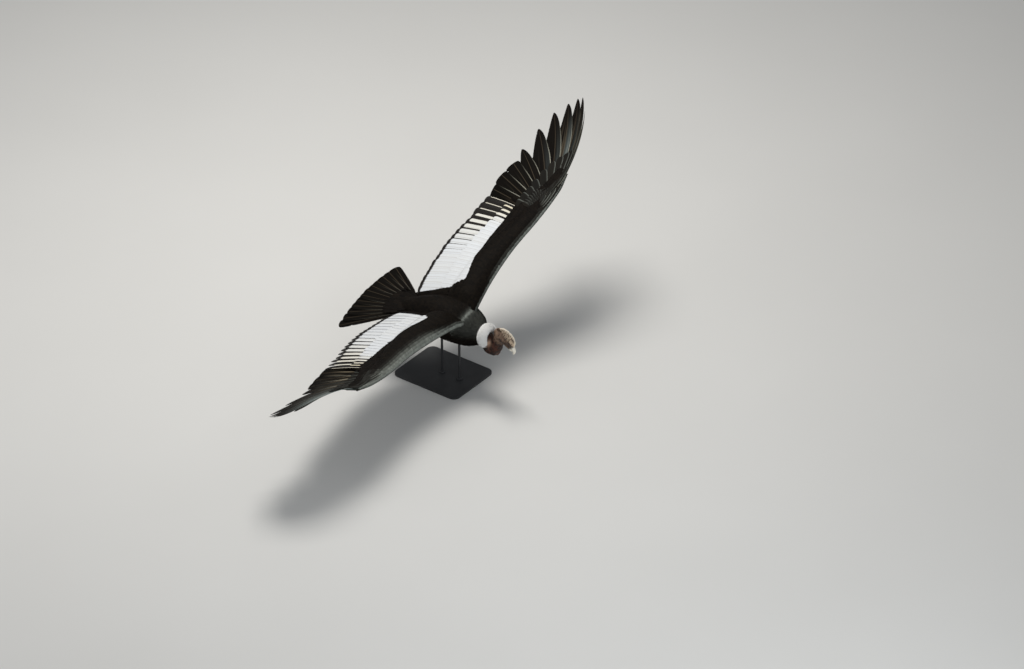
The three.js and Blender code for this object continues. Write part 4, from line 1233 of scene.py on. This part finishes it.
def back_height(x, y):
    """Height of the back: the trunk and the inner wing run together over the shoulders."""
    wide, tall = along(TRUNK, WIDE, x), along(TRUNK, TALL, x)
    trunk = along(TRUNK, MIDDLE_Z, x) + tall * np.sqrt(np.clip(1 - (y / wide) ** 2, 0.002, 1))
    span = np.maximum(np.abs(y), 0.02)
    lead = along(WING, LEAD, span)
    share = np.clip((lead - x) / (lead - along(WING, TRAIL, span)), 0, 1)
    wing = wing_point(span, share, flesh_half(span, share))[..., 2] - np.maximum(x - lead, 0) * 2.2
    return BACK_BLEND * np.logaddexp(trunk / BACK_BLEND, wing / BACK_BLEND)


def back_surface(x, y):
    return stack(x, y, back_height(x, y) - BACK_UNDER)


# The mantle: its first and last row's tips, the feathers' width and length behind and in front, and
# how far to the sides it reaches at places along the back
MANTLE = {
    "from": 0.132, "to": -0.215, "width": (0.034, 0.018), "length": (0.072, 0.028),
    "reach": ((-0.22, 0.075), (-0.10, 0.105), (0.02, 0.17), (0.10, 0.16), (0.132, 0.12)),
}


def mantle(seed):
    """Feathers over the shoulders and the back, which hide where the wings join the trunk."""
    rng = np.random.default_rng(seed)
    xs, ys, longs, wides = [], [], [], []
    tip = MANTLE["from"]
    while tip > MANTLE["to"]:
        wide, long = (np.interp(tip, (-0.2, 0.13), MANTLE[key]) for key in ("width", "length"))
        reach = np.interp(tip, *zip(*MANTLE["reach"]))
        y = np.arange(-reach, reach, wide * 0.5) + rng.uniform(0, wide * 0.5)
        xs.append(tip + rng.normal(0, 0.002, len(y)))
        ys.append(y)
        longs.append(long * rng.uniform(0.9, 1.1, len(y)))
        wides.append(np.full(len(y), wide))
        tip -= long * 0.26
    x, y, long, wide = map(np.concatenate, (xs, ys, longs, wides))
    room = np.where(np.abs(y) > SHOULDER_Y, along(WING, LEAD, np.abs(y)) - 0.008 - x, 1.0)
    kept = room > 0.012
    x, y, long, wide = x[kept], y[kept], np.minimum(long, room)[kept], wide[kept]
    tip_x, at_y, long_c = column_of(x), column_of(y), column_of(long)

    def where(s):
        back, inwards = tip_x + long_c * (1 - s), at_y * (1 - 0.05 * s)
        return on_surface(back_surface, back, inwards, mix(-0.004, 0.0035, s))

    made = feathers(where, len(x), wide, "contour", "small", seed, roll=1.5, thick=SMALL_THICK, cup=0.08,
                    length=long)
    return valued(made, root_a=np.pi / 2)


# The head in its own frame, before its scale: origin between the eyes, +X to the bill, +Z to the crown
SKULL = (  # x, middle y, middle z, half width, half height
    (-0.047, 0, 0.001, 0.009, 0.011),
    (-0.038, 0, 0.002, 0.018, 0.019),
    (-0.024, 0, 0.003, 0.0245, 0.026),
    (-0.008, 0, 0.005, 0.0275, 0.029),
    (0.012, 0, 0.004, 0.0255, 0.0275),
    (0.032, 0, 0.000, 0.0185, 0.0235),
    (0.050, 0, -0.002, 0.0140, 0.0185),
    (0.060, 0, -0.001, 0.0120, 0.0152),
    (0.063, 0, 0.000, 0.0100, 0.0125),
)
COMB = (
    (0.0785, 0, 0.012, 0.0025, 0.0035),
    (0.0755, 0, 0.020, 0.0055, 0.014),
    (0.066, 0, 0.031, 0.0070, 0.025),
    (0.050, 0, 0.040, 0.0072, 0.033),
    (0.030, 0, 0.046, 0.0070, 0.033),
    (0.010, 0, 0.050, 0.0066, 0.029),
    (-0.009, 0, 0.050, 0.0060, 0.0225),
    (-0.025, 0, 0.041, 0.0054, 0.0180),
    (-0.036, 0, 0.029, 0.0044, 0.0125),
    (-0.042, 0, 0.020, 0.0032, 0.0060),
)
BILL_TOP = (  # x, z, half width, half height, with each ring square to the line
    (0.046, 0.001, 0.0125, 0.0145),
    (0.064, 0.001, 0.0108, 0.0133),
    (0.078, 0.000, 0.0102, 0.0128),
    (0.089, -0.006, 0.0088, 0.0108),
    (0.096, -0.017, 0.0063, 0.0078),
    (0.098, -0.029, 0.0035, 0.0043),
    (0.096, -0.038, 0.0008, 0.0010),
)
BILL_LOW = (
    (0.036, -0.0165, 0.0080, 0.0030),
    (0.050, -0.0182, 0.0104, 0.0050),
    (0.066, -0.0190, 0.0093, 0.0053),
    (0.078, -0.0195, 0.0078, 0.0045),
    (0.0855, -0.0195, 0.0042, 0.0023),
)
EYE = {"at": (0.016, 0.0226, 0.008), "radius": 0.0082}
# The lid round the eye: its ring's radius, its own, how far out it lies, how it is stretched
LID = {"ring": 0.0086, "radius": 0.0021, "out": 0.0030, "stretch": (1.1, 0.86, 1)}
# Swellings on each side of the head: place, radius, stretch. The brow's place is given from the eye.
CHEEK = ((-0.004, 0.0175, -0.012), 0.0150, (1.25, 0.75, 0.8))
BROW = ((0.002, -0.001, 0.0122), 0.0058, (2.2, 0.8, 0.42))
GAPE_SWELLINGS = (
    ((0.053, 0.0080, -0.009), 0.0085, (1.4, 0.65, 1.05)),
    ((0.043, 0.0045, -0.0185), 0.0075, (2.1, 0.9, 0.75)),
)
# Rolls of skin from behind the eye over the side of the head: place along it, height, radius
NAPE_FOLDS = ((-0.013, 0.018, 0.0052), (-0.019, 0.009, 0.0056), (-0.021, -0.001, 0.0056),
              (-0.018, -0.011, 0.0054), (-0.010, -0.020, 0.0050))
NAPE_FOLD = {"out": 0.0195, "stretch": (2.1, 0.75, 0.62)}
JAW = ((-0.012, 0, -0.032), 0.018, (1.5, 0.75, 0.8))
NECK = (  # x, y, z, radius: the bare neck's folded loop
    (0.204, 0.000, -0.114, 0.038),
    (0.220, -0.003, -0.136, 0.0445),
    (0.238, -0.007, -0.160, 0.0475),
    (0.256, -0.009, -0.170, 0.0465),
    (0.274, -0.008, -0.160, 0.0405),
    (0.291, -0.005, -0.138, 0.0345),
    (0.304, -0.003, -0.114, 0.0290),
    (0.311, -0.002, -0.092, 0.0240),
)
# Lobes of loose skin on an arc below the throat
WATTLE = {"at": (0.256, -0.009, -0.178), "lobes": 5, "radius": 0.0145, "ring": 0.035, "spread": (-0.7, 0.62)}
SHANK = (
    (-0.285, 0.050, -0.074, 0.011),
    (-0.304, 0.049, -0.070, 0.0092),
    (-0.340, 0.047, -0.066, 0.008),
    (-0.392, 0.045, -0.062, 0.009),
    (-0.404, 0.045, -0.061, 0.0108),
)
TOE_ROOT = (-0.402, 0.045, -0.061)
TOES = ((0, 0.108, 0.0074), (-20, 0.074, 0.0064), (20, 0.078, 0.0064))  # splay, length, radius
# Along a toe and its claw: share of the toe's length, drop, and the radius, of which the toe has a share
TOE_FLESH = ((-0.05, 0, 1), (0.3, -0.003, 0.85), (0.6, 0, 0.95), (0.8, 0.006, 0.74), (0.86, 0.010, 0.5))
CLAW = ((0.82, 0.0068, 0.0036), (0.89, 0.0105, 0.0044), (0.955, 0.0165, 0.0031), (1.0, 0.0262, 0.0007))
# The hind toe and its claw, from the toes' root: ahead, out, up, radius
HIND_TOE = ((0.002, 0, -0.004, 0.005), (0.008, -0.002, -0.018, 0.0045), (0.0065, -0.002, -0.024, 0.0032))
HIND_CLAW = ((0.0068, -0.002, -0.021, 0.0026), (0.004, -0.002, -0.030, 0.0028),
             (-0.004, -0.002, -0.0372, 0.0006))


def mirrored(side):
    return Matrix.Scale(side, 4, Vector((0, 1, 0)))


def only(piece):
    bpy.ops.object.select_all(action="DESELECT")
    piece.select_set(True)
    bpy.context.view_layer.objects.active = piece


def limb(stations, sides=28):
    """A closed body: a disc set on the first station, extruded in edit mode from one to the next.
    Each station gives its middle and the two half widths of its oval."""
    bpy.ops.mesh.primitive_circle_add(vertices=sides, radius=1, fill_type="NGON")
    body = bpy.context.object
    bpy.ops.object.mode_set(mode="EDIT")
    middle, axes = Vector((0, 0, 0)), Matrix.Identity(3)
    for n, (to_middle, side, up) in enumerate(stations):
        if n:
            bpy.ops.mesh.extrude_region_move()
        to_axes = Matrix((side, up, side.cross(up).normalized())).transposed()
        turn = to_axes @ axes.inverted()
        mesh = bmesh.from_edit_mesh(body.data)
        for vert in (v for v in mesh.verts if v.select):
            vert.co = to_middle + turn @ (vert.co - middle)
        bmesh.update_edit_mesh(body.data)
        middle, axes = to_middle, to_axes
    bpy.ops.mesh.select_all(action="SELECT")
    bpy.ops.mesh.normals_make_consistent(inside=False)
    bpy.ops.object.mode_set(mode="OBJECT")
    return body


def smooth(_share):
    """The ripple of a limb that has none."""
    return 1.0


def oval_limb(table, steps, inset=0.0, ripple=smooth, sides=28):
    """A limb through upright ovals, smoothed between the table's stations."""
    first, last = table[0][0], table[-1][0]
    stations = []
    for k in range(steps + 1):
        x = mix(first, last, k / steps)
        y, z, wide, tall = (float(along(table, column, x)) for column in (MIDDLE_Y, MIDDLE_Z, WIDE, TALL))
        tall = tall * ripple(k / steps)
        stations.append((Vector((x, y, z)), Vector((0, wide - inset, 0)), Vector((0, 0, tall - inset))))
    return limb(stations, sides)


def round_limb(rows, steps, ripple=smooth, sides=20):
    """A round tube through rows of x, y, z and radius, each ring square to the line it follows."""
    rows = np.array(rows, float)
    at = np.linspace(0, len(rows) - 1, steps + 1)
    knots = np.arange(len(rows))
    table = np.column_stack([knots, rows]).tolist()
    x, y, z, r = (along(table, c, at) for c in (1, 2, 3, 4))
    line = np.column_stack([x, y, z])
    ahead = unit(np.gradient(line, axis=0))
    stations = []
    for k, (point, way) in enumerate(zip(line, ahead)):
        way = Vector(way)
        side = (Vector((0, 1, 0)) - way * way.y).normalized()
        size = float(r[k]) * ripple(k / steps)
        stations.append((Vector(point), side * size, way.cross(side) * size))
    return limb(stations, sides)


THINNEST = 0.0006


def leaning_limb(rows, steps, sides=24):
    """A limb in the plane of the head's middle, through rows of x, z, half width and half height."""
    rows = np.array(rows, float)
    table = np.column_stack([np.arange(len(rows)), rows]).tolist()
    at = np.linspace(0, len(rows) - 1, steps + 1)
    x, z, wide, tall = (along(table, c, at) for c in (1, 2, 3, 4))
    ahead = unit(np.gradient(np.column_stack([x, z]), axis=0))
    stations = []
    for k in range(steps + 1):
        up = Vector((-ahead[k][1], 0, ahead[k][0])) * max(float(tall[k]), THINNEST)
        stations.append((Vector((x[k], 0, z[k])), Vector((0, max(wide[k], THINNEST), 0)), up))
    return limb(stations, sides)


def ball(at, radius, stretch=(1, 1, 1), detail=24):
    bpy.ops.mesh.primitive_uv_sphere_add(segments=detail, ring_count=detail // 2, radius=radius, location=at)
    made = bpy.context.object
    made.scale = stretch
    return made


def placed(piece, frame_of):
    """Puts a piece's own place into its mesh, seen from the given frame."""
    piece.matrix_world = frame_of @ piece.matrix_basis
    only(piece)
    bpy.ops.object.transform_apply(location=True, rotation=True, scale=True)
    return piece


def joined(pieces, name):
    bpy.ops.object.select_all(action="DESELECT")
    for piece in pieces:
        piece.select_set(True)
    bpy.context.view_layer.objects.active = pieces[0]
    bpy.ops.object.join()
    whole = bpy.context.object
    whole.name = whole.data.name = name
    return whole


def apply(piece, kind, **settings):
    """Adds a modifier with its settings and applies it."""
    only(piece)
    added = piece.modifiers.new("shape", kind)
    for key, value in settings.items():
        setattr(added, key, value)
    bpy.ops.object.modifier_apply(modifier=added.name)


def combined(piece, other, operation):
    """Joins another closed body to a piece, or cuts it out, and takes it away."""
    apply(piece, "BOOLEAN", operation=operation, object=other, solver="MANIFOLD")
    bpy.data.objects.remove(other)


def fused(pieces, name, voxel, rounds):
    """Pieces as one closed body, remeshed and then smoothed in so many rounds."""
    whole = joined(pieces, name)
    apply(whole, "REMESH", mode="VOXEL", voxel_size=voxel, use_smooth_shade=True)
    apply(whole, "SMOOTH", factor=0.5, iterations=rounds)
    return whole


# The wing's flesh under its coat: where it starts, how far short of the hand's end it stops, its
# stations, the shares of its width that it fills, and how far under the coat it lies
WING_FLESH = {
    "from": 0.03, "short": 0.01, "stations": 26, "fore": 0.03, "aft": 0.97, "fullest": 0.38,
    "inset": 0.004, "least": 0.0012,
}


def wing_limb(side):
    """The flesh of one wing, inside its coat: ovals along the span, from the trunk to the hand's end."""
    its = WING_FLESH
    stations = []
    for y in np.linspace(its["from"], HAND_END - its["short"], its["stations"]):
        share = float(flesh_share(y))
        fore, aft = wing_point(y, its["fore"] * share), wing_point(y, its["aft"] * share)
        half = max(float(flesh_half(y, share * its["fullest"])) - its["inset"], its["least"])
        middle = mix(fore, aft, 0.46)
        across = (aft - fore) * 0.45
        stations.append((Vector(middle * (1, side, 1)), Vector(across * (1, side, 1)), Vector((0, 0, half))))
    return limb(stations, 24)


def toe_line(splay, length, stations, radius=1.0):
    """Rows for a limb along a toe, from stations of its length's share, a drop and a radius."""
    x, y, z = TOE_ROOT
    a = math.radians(splay)
    return [
        (x - length * s * math.cos(a), y + length * s * math.sin(a), z - drop, radius * r)
        for s, drop, r in stations
    ]


def from_toe_root(rows):
    """Rows given from the toes' root."""
    x, y, z = TOE_ROOT
    return [(x + ahead, y + out, z + up, radius) for ahead, out, up, radius in rows]


def leg_limbs(side):
    """One scaly shank with its four toes, tucked back."""
    x, y, z = TOE_ROOT
    made = [round_limb(SHANK, 60, lambda share: 1 + 0.035 * abs(math.sin(share * 46)), 16)]
    for splay, length, radius in TOES:
        rows = toe_line(splay, length, TOE_FLESH, radius)
        made.append(round_limb(rows, 34, lambda share: 1 + 0.06 * abs(math.sin(share * 30)), 14))
    made.append(round_limb(from_toe_root(HIND_TOE), 10, sides=12))
    made.append(ball((x - 0.003, y, z), 0.0115))
    return [placed(part, mirrored(side)) for part in made]


def claws(side):
    """The dark horn claws, each sunk a little into the end of its toe."""
    made = [round_limb(toe_line(splay, length, CLAW), 14, sides=14) for splay, length, _radius in TOES]
    made.append(round_limb(from_toe_root(HIND_CLAW), 12, sides=12))
    return [placed(claw, mirrored(side)) for claw in made]


def swelling(at, radius, stretch, side):
    """A ball on one side of the head."""
    return ball((at[0], side * at[1], at[2]), radius, stretch)


def lid_ring(at, side):
    x, y, z = at
    bpy.ops.mesh.primitive_torus_add(
        major_radius=LID["ring"], minor_radius=LID["radius"], major_segments=36, minor_segments=12,
        location=(x, side * (y + LID["out"]), z), rotation=(math.pi / 2, 0, 0),
    )
    lid = bpy.context.object
    lid.scale = LID["stretch"]
    return lid


def head_limbs():
    """Skull, cheeks, brows, lids, folds and comb, in the head's frame."""
    lobes = lambda share: 1 + 0.05 * math.sin(share * 33) + 0.03 * math.sin(share * 79)
    made = [oval_limb(SKULL, 30), oval_limb(COMB, 70, 0.0, lobes, 22)]
    from_eye, radius, stretch = BROW
    brow = ([a + b for a, b in zip(EYE["at"], from_eye)], radius, stretch)
    for side in (-1, 1):
        made += [swelling(*CHEEK, side), swelling(*brow, side), lid_ring(EYE["at"], side)]
        made += [swelling(*each, side) for each in GAPE_SWELLINGS]
        for back, height, radius in NAPE_FOLDS:
            made.append(swelling((back, NAPE_FOLD["out"], height), radius, NAPE_FOLD["stretch"], side))
    return [placed(piece, HEAD) for piece in made]


def neck_limbs():
    """The bare neck's loop, ringed with folds, and the lobes of loose skin at the throat."""
    folds = lambda share: 1 + 0.030 * math.sin(share * 44) + 0.014 * math.sin(share * 83 + 1)
    made = [round_limb(NECK, 76, folds, 40)]
    x, y, z = WATTLE["at"]
    for k in range(WATTLE["lobes"]):
        share = k / (WATTLE["lobes"] - 1)
        a = mix(*WATTLE["spread"], share) * math.pi / 2
        radius = WATTLE["radius"] * (1 - 0.25 * abs(share - 0.4))
        at = (x + WATTLE["ring"] * math.sin(a), y, z - WATTLE["ring"] * math.cos(a))
        made.append(ball(at, radius, (0.7, 0.95, 1)))
    made.append(placed(ball(*JAW), HEAD))
    return made


# How often each kind of relief comes in a metre, and how deep it is
LUMPS, WRINKLES, PORES, SCALES, COMB_PLEATS, SIDE_FOLDS = 75, 230, 520, 320, 640, 900
PLEAT_DEPTH, FOLD_DEPTH, PORE_DEPTH = 0.0005, 0.00035, 0.0004
GAPE_DEPTH, EAR_DEPTH, SCALE_DEPTH = 0.0024, 0.0036, 0.0003
# Where the bare skin starts along x, and the bare legs below a height
BARE_FROM, LEG_FROM, LEG_UNDER = 0.208, -0.292, -0.045


def near(value, at, spread):
    return math.exp(-(((value - at) / spread) ** 2))


def clamped(value):
    return min(1.0, max(0.0, value))


def comb_top(x):
    """Height of the comb's outer edge."""
    return float(along(COMB, MIDDLE_Z, x) + along(COMB, TALL, x))


NAPE_PATCH = (0.249, 0.031, -0.130)  # in the bird's frame
EAR = (-0.016, 0.0265, -0.003)  # in the head's frame


def distance(p, spot):
    """How far a point is from a spot of the left side, or from its mirror image."""
    return (Vector((p.x, abs(p.y), p.z)) - Vector(spot)).length


def bare_zones(p, h):
    """What the colours of the bare skin follow, at a point given in the bird's and in the head's frame."""
    comb = clamped((0.0115 - abs(h.y)) / 0.004) * clamped((h.z - 0.028 + 0.25 * h.x) / 0.008)
    throat = clamped((-0.026 - h.z) / 0.014)
    return {
        "comb": comb,
        # where a highlight is painted along the comb's top edge
        "edge": comb * clamped((h.z - comb_top(h.x) + 0.011) / 0.009),
        "throat": throat,
        # a band of painted shade below the comb, at the eye's height
        "lore": near(h.z, 0.006, 0.012) * clamped((h.x + 0.012) / 0.014) * (1 - throat),
        "nape_patch": near(distance(p, NAPE_PATCH), 0, 0.017),
        "head_x": h.x,
        "head_z": h.z,
    }


def bare_relief(p, h, comb, throat):
    """How far the bare skin is raised: lumps, wrinkles and folds, less the gape and the ear's opening."""
    lumps = noise.fractal(p * LUMPS, 1.0, 2.2, 3)
    wrinkle = noise.noise(p * WRINKLES + Vector((3, 1, 7)))
    fine = noise.noise(p * PORES)
    depth = PORE_DEPTH * fine + mix(0.0006, 0.0008, comb) * wrinkle
    depth += mix(0.0004, 0.0013, max(comb, throat)) * lumps
    lean = h.x + 0.35 * h.z + 0.009 * noise.noise(p * 45)
    pleat = comb * math.sin(lean * COMB_PLEATS) * PLEAT_DEPTH
    level = h.z + 0.3 * h.x + 0.003 * noise.noise(p * 70)
    side_fold = (1 - comb) * (1 - throat) * math.sin(level * SIDE_FOLDS) * FOLD_DEPTH
    gape = near(h.z, -0.0135 - 0.12 * (h.x - 0.012), 0.0016) * (1 if 0.004 < h.x < 0.056 else 0)
    ear = near(distance(h, EAR), 0, 0.0048)
    calm = 0.15 + 0.85 * clamped((distance(h, EYE["at"]) - 0.011) / 0.006)
    return (depth + pleat + side_fold) * calm - GAPE_DEPTH * gape - EAR_DEPTH * ear


def crease_skin(skin):
    """Folds, wrinkles and the gape in the bare skin, and the values that its colours follow."""
    to_head = HEAD.inverted()
    names = ("bare", "comb", "edge", "throat", "lore", "nape_patch", "leg", "head_x", "head_z")
    zones = {key: np.zeros(len(skin.data.vertices)) for key in names}
    moved = []
    for n, vert in enumerate(skin.data.vertices):
        p = vert.co
        bare = clamped((p.x - BARE_FROM) / 0.006)
        leg = clamped((LEG_FROM - p.x) / 0.008) if p.z < LEG_UNDER else 0.0
        if leg:
            zones["leg"][n] = leg
            moved.append((vert, vert.normal * SCALE_DEPTH * noise.noise(p * SCALES)))
        elif bare:
            h = to_head @ p
            found = bare_zones(p, h)
            zones["bare"][n] = bare
            for key, value in found.items():
                zones[key][n] = value
            moved.append((vert, vert.normal * bare_relief(p, h, found["comb"], found["throat"])))
    for vert, move in moved:
        vert.co = vert.co + move
    for key, values in zones.items():
        keep_value(skin.data, key, values)


VOXEL = {"broad": 0.0056, "legs": 0.0024, "head": 0.00156}  # how finely each part of the skin is remeshed
NECK_ROOT = ((0.150, 0, -0.092, 0.058), (0.178, 0, -0.101, 0.058), (0.206, 0, -0.113, 0.052))


def one_skin():
    """The bird's whole skin as one closed surface: broad parts coarser, head, neck and legs finer."""
    broad = [oval_limb(TRUNK[1:], 40, COAT_DEPTH), oval_limb(WEDGE, 12, 0.0025), wing_limb(1), wing_limb(-1)]
    broad.append(round_limb(NECK_ROOT, 8))
    for side in (1, -1):
        broad.append(placed(oval_limb(THIGH, 20, COAT_DEPTH * 0.7), mirrored(side)))
    skin = fused(broad, "skin", VOXEL["broad"], 3)
    legs = fused(leg_limbs(1) + leg_limbs(-1), "bare_legs", VOXEL["legs"], 3)
    bare_head = fused(head_limbs() + neck_limbs(), "bare_head", VOXEL["head"], 2)
    for part in (legs, bare_head):
        combined(skin, part, "UNION")
    for side in (-1, 1):
        x, y, z = EYE["at"]
        hollow = ball((x, side * y, z), EYE["radius"] + 0.0002, detail=40)
        combined(skin, placed(hollow, HEAD), "DIFFERENCE")
    crease_skin(skin)
    only(skin)
    bpy.ops.object.shade_smooth()
    return skin


def dress_piece(piece, name, material, replaced=()):
    """A piece shaped in the bird's frame, set in place over the stand and given its finish."""
    placed(piece, BIRD)
    piece.name = piece.data.name = name
    piece.data.materials.clear()
    piece.data.materials.append(material)
    only(piece)
    bpy.ops.object.shade_smooth()
    kept_as(piece, replaced)


def skin_material():
    """Dark skin under the coat; bare, wrinkled skin on the head and neck; grey scales on the legs."""
    made, tree = new_material("bird_skin", {"Roughness": 0.55, "Specular IOR Level": 0.28})
    place = on_object(tree)
    cloud = cloud_of(tree, place, 45.0)
    gaps = {"Vector": place, "Scale": 260.0}
    scales = node(tree, "TexVoronoi", gaps, feature="DISTANCE_TO_EDGE").outputs["Distance"]
    lane = node(tree, "CombineXYZ", {
        "X": times(tree, value_of(tree, "head_x"), 190.0), "Y": times(tree, value_of(tree, "head_z"), 42.0),
    }).outputs[0]
    streak = cloud_of(tree, lane, 1.0)
    # the throat's dark red skin, with shade under the head painted into it
    red = blend(tree, ramp(tree, cloud, 0.38, 0.68), "throat_dark", "throat_red")
    red = blend(tree, value_of(tree, "nape_patch"), red, "nape_pink")
    tan = blend(tree, ramp(tree, streak, 0.39, 0.56), "comb_streak", "comb_tan")
    # painted highlight along the comb's top edge
    tan = blend(tree, times(tree, value_of(tree, "edge"), 0.85), tan, "comb_edge")
    blotch = plus(tree, times(tree, streak, 0.55), times(tree, cloud, 0.45))
    face = blend(tree, ramp(tree, blotch, 0.42, 0.58), "face_dark", "face_tan")
    # painted shade below the comb, along the eye
    face = blend(tree, times(tree, value_of(tree, "lore"), 0.8), face, "lore_dark")
    bare = blend(tree, value_of(tree, "throat"), face, red)
    bare = blend(tree, value_of(tree, "comb"), bare, tan)
    leg = blend(tree, ramp(tree, scales, 0.02, 0.16), "scale_gap", "scale_grey")
    colour = blend(tree, value_of(tree, "bare"), "covered_skin", bare)
    colour = blend(tree, value_of(tree, "leg"), colour, leg)
    wrinkles = cloud_of(tree, place, 150.0, 6.0, Distortion=1.2)
    lift = times(tree, ramp(tree, scales, 0.0, 0.14), value_of(tree, "leg"))
    lift = plus(tree, cloud_of(tree, place, 260.0), lift)
    lift = plus(tree, lift, times(tree, wrinkles, value_of(tree, "bare")))
    return finished(made, colour, None, lift, 0.7, 0.0014)


def bill_material():
    """Ivory horn, browner at the base, with fine growth lines."""
    horn = {"Roughness": 0.42, "Coat Weight": 0.05, "Coat Roughness": 0.3}
    made, tree = new_material("bill_horn", horn)
    place = on_object(tree)
    lengthwise = node(tree, "Mapping", {"Vector": place, "Scale": (90, 400, 90)}).outputs[0]
    lines = cloud_of(tree, lengthwise, 1.0, 3.0)
    ivory = blend(tree, times(tree, cloud_of(tree, place, 80.0), 0.5), "bill_ivory", "bill_yellow")
    colour = blend(tree, value_of(tree, "base"), ivory, "bill_base")
    colour = blend(tree, times(tree, lines, 0.2), colour, "bill_lines")
    return finished(made, colour, None, lines, 0.3, 0.0004)


def claw_material():
    made, tree = new_material("claw_horn", {"Roughness": 0.35})
    cloud = cloud_of(tree, on_object(tree), 150.0, 3.0)
    return finished(made, blend(tree, cloud, "claw_black", "claw_brown"), None, cloud)


def eye_material():
    """A wet dark eye with a brown iris about its pupil."""
    wet = {"Roughness": 0.12, "Coat Weight": 0.5, "Coat Roughness": 0.03}
    made, tree = new_material("eye_ball", wet)
    gaze = value_of(tree, "gaze")
    iris = blend(tree, cloud_of(tree, on_object(tree), 900.0, 3.0), "iris_dark", "iris_brown")
    colour = blend(tree, ramp(tree, gaze, 0.48, 0.44), iris, "pupil")
    return finished(made, blend(tree, ramp(tree, gaze, 0.76, 0.84), colour, "eye_rim"))


def dress_eyes():
    material = eye_material()
    x, y, z = EYE["at"]
    for side, name in ((1, "left"), (-1, "right")):
        eye = ball((x, side * y, z), EYE["radius"] * 0.99, detail=48)
        bpy.context.view_layer.update()
        out = Vector((0.25, side, 0.05)).normalized()
        keep_value(eye.data, "gaze", [v.co.normalized().angle(out) for v in eye.data.vertices])
        placed(eye, HEAD)
        dress_piece(eye, "eyeball_" + name, material, ["eye_" + name])


NOSTRIL = {"at": (0.0695, 0, 0.004), "stretch": (0.0058, 0.0026, 1)}  # one hole right through the bill


def dress_bill():
    material = bill_material()
    top, low = leaning_limb(BILL_TOP, 60, 36), leaning_limb(BILL_LOW, 30, 28)
    bpy.ops.mesh.primitive_cylinder_add(vertices=32, radius=1, depth=0.06, location=NOSTRIL["at"],
                                        rotation=(math.pi / 2, 0, 0))
    hole = bpy.context.object
    hole.scale = NOSTRIL["stretch"]
    combined(top, placed(hole, Matrix()), "DIFFERENCE")
    for bill, name, pale_from, solid in (
        (top, "bill_top", 0.081, "bill_upper"),
        (low, "bill_below", 0.075, "bill_lower"),
    ):
        keep_value(bill.data, "base", [clamped((pale_from - v.co.x) / 0.012) for v in bill.data.vertices])
        placed(bill, HEAD)
        dress_piece(bill, name, material, [solid])


# The ruff's ring: place, pitch, radius, and the half depth and half length of its section
RUFF = {"at": (0.2235, 0.0, -0.105), "pitch": math.radians(10), "radius": 0.048, "deep": 0.010, "long": 0.019}
WISPS, WISP_LENGTH, WISP_WIDTH = 7800, (0.010, 0.021), (0.0017, 0.0032)
WISP_SWIRL, WISP_CURL = 0.55, (0.2, 0.65)
GIRTH = 1.9  # how far round the section the wisps grow, to either side of its outermost line


def ruff_down(seed):
    """The collar of white down: fine, curved wisps growing out of a ring round the neck."""
    rng = np.random.default_rng(seed)
    around = column_of(rng.uniform(0, 2 * np.pi, WISPS))
    girth = column_of(rng.uniform(-GIRTH, GIRTH, WISPS))
    long = column_of(rng.uniform(*WISP_LENGTH, WISPS))
    swirl = column_of(rng.normal(0, WISP_SWIRL, WISPS))
    curl = column_of(rng.normal(*WISP_CURL, WISPS))

    def where(s):
        bend = girth + curl * s**2
        grown = 0.75 * long * s
        radius = RUFF["radius"] + (RUFF["deep"] * 0.95 + grown) * np.cos(bend)
        x = (RUFF["long"] * 0.95 + grown) * np.sin(bend)
        turned = around + swirl * s**2 * long / RUFF["radius"]
        at = stack(x, radius * np.cos(turned), radius * np.sin(turned))
        spun = np.sin(swirl)
        normal = stack(np.cos(bend) * 0.3, np.cos(turned) * spun, np.sin(turned) * spun) + 0.2
        turn = np.array(Matrix.Rotation(RUFF["pitch"], 3, "Y"))
        return at @ turn.T + np.array(RUFF["at"]), unit(normal @ turn.T)

    made = feathers(where, WISPS, rng.uniform(*WISP_WIDTH, WISPS), "wisp", "down", seed, roll=0,
                    thick=(0.0009, 0.0003), slant=0.0)
    per = len(made["points"]) // WISPS
    return valued(made, around=np.repeat(around, per), girth=np.repeat(girth, per))


def round_collar(made):
    return in_patches(made, made["around"] / (2 * np.pi), made["girth"] / (2 * GIRTH) + 0.5)


def ruff_core():
    """A plain ring under the down."""
    bpy.ops.mesh.primitive_torus_add(
        major_radius=RUFF["radius"], minor_radius=RUFF["deep"], major_segments=64, minor_segments=20,
        rotation=(0, math.pi / 2, 0),
    )
    core = bpy.context.object
    bpy.ops.object.transform_apply(location=True, rotation=True, scale=True)
    core.scale = (1.5, 1, 1)
    turn = Matrix.Rotation(RUFF["pitch"], 4, "Y")
    core.matrix_basis = Matrix.Translation(RUFF["at"]) @ turn @ core.matrix_basis
    return placed(core, Matrix())


def dress_head():
    down = down_material()
    piece_from("ruff_down", ruff_down(71), down, ["ruff"], round_collar)
    piece_from("ruff_down_over", ruff_down(72), down, layout=round_collar)
    core = ruff_core()
    keep_value(core.data, "tone", np.zeros(len(core.data.vertices)))
    dress_piece(core, "ruff_core", down)
    dress_eyes()
    dress_bill()
    dress_piece(joined(claws(1) + claws(-1), "claws"), "claws", claw_material())
    flesh = ["torso", "neck_base", "neck_bare", "head", "comb"]
    flesh += [part + side for part in ("thigh_", "shank_", "foot_") for side in ("left", "right")]
    dress_piece(one_skin(), "skin", skin_material(), flesh)


def dress_stand():
    coating = stand_material()
    for name in ("stand_base", "stand_rod_front", "stand_rod_rear"):
        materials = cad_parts[name].data.materials
        materials.clear()
        materials.append(coating)


set_camera()
set_studio()
coat = dress_wings()
dress_body(coat)
dress_head()
dress_stand()
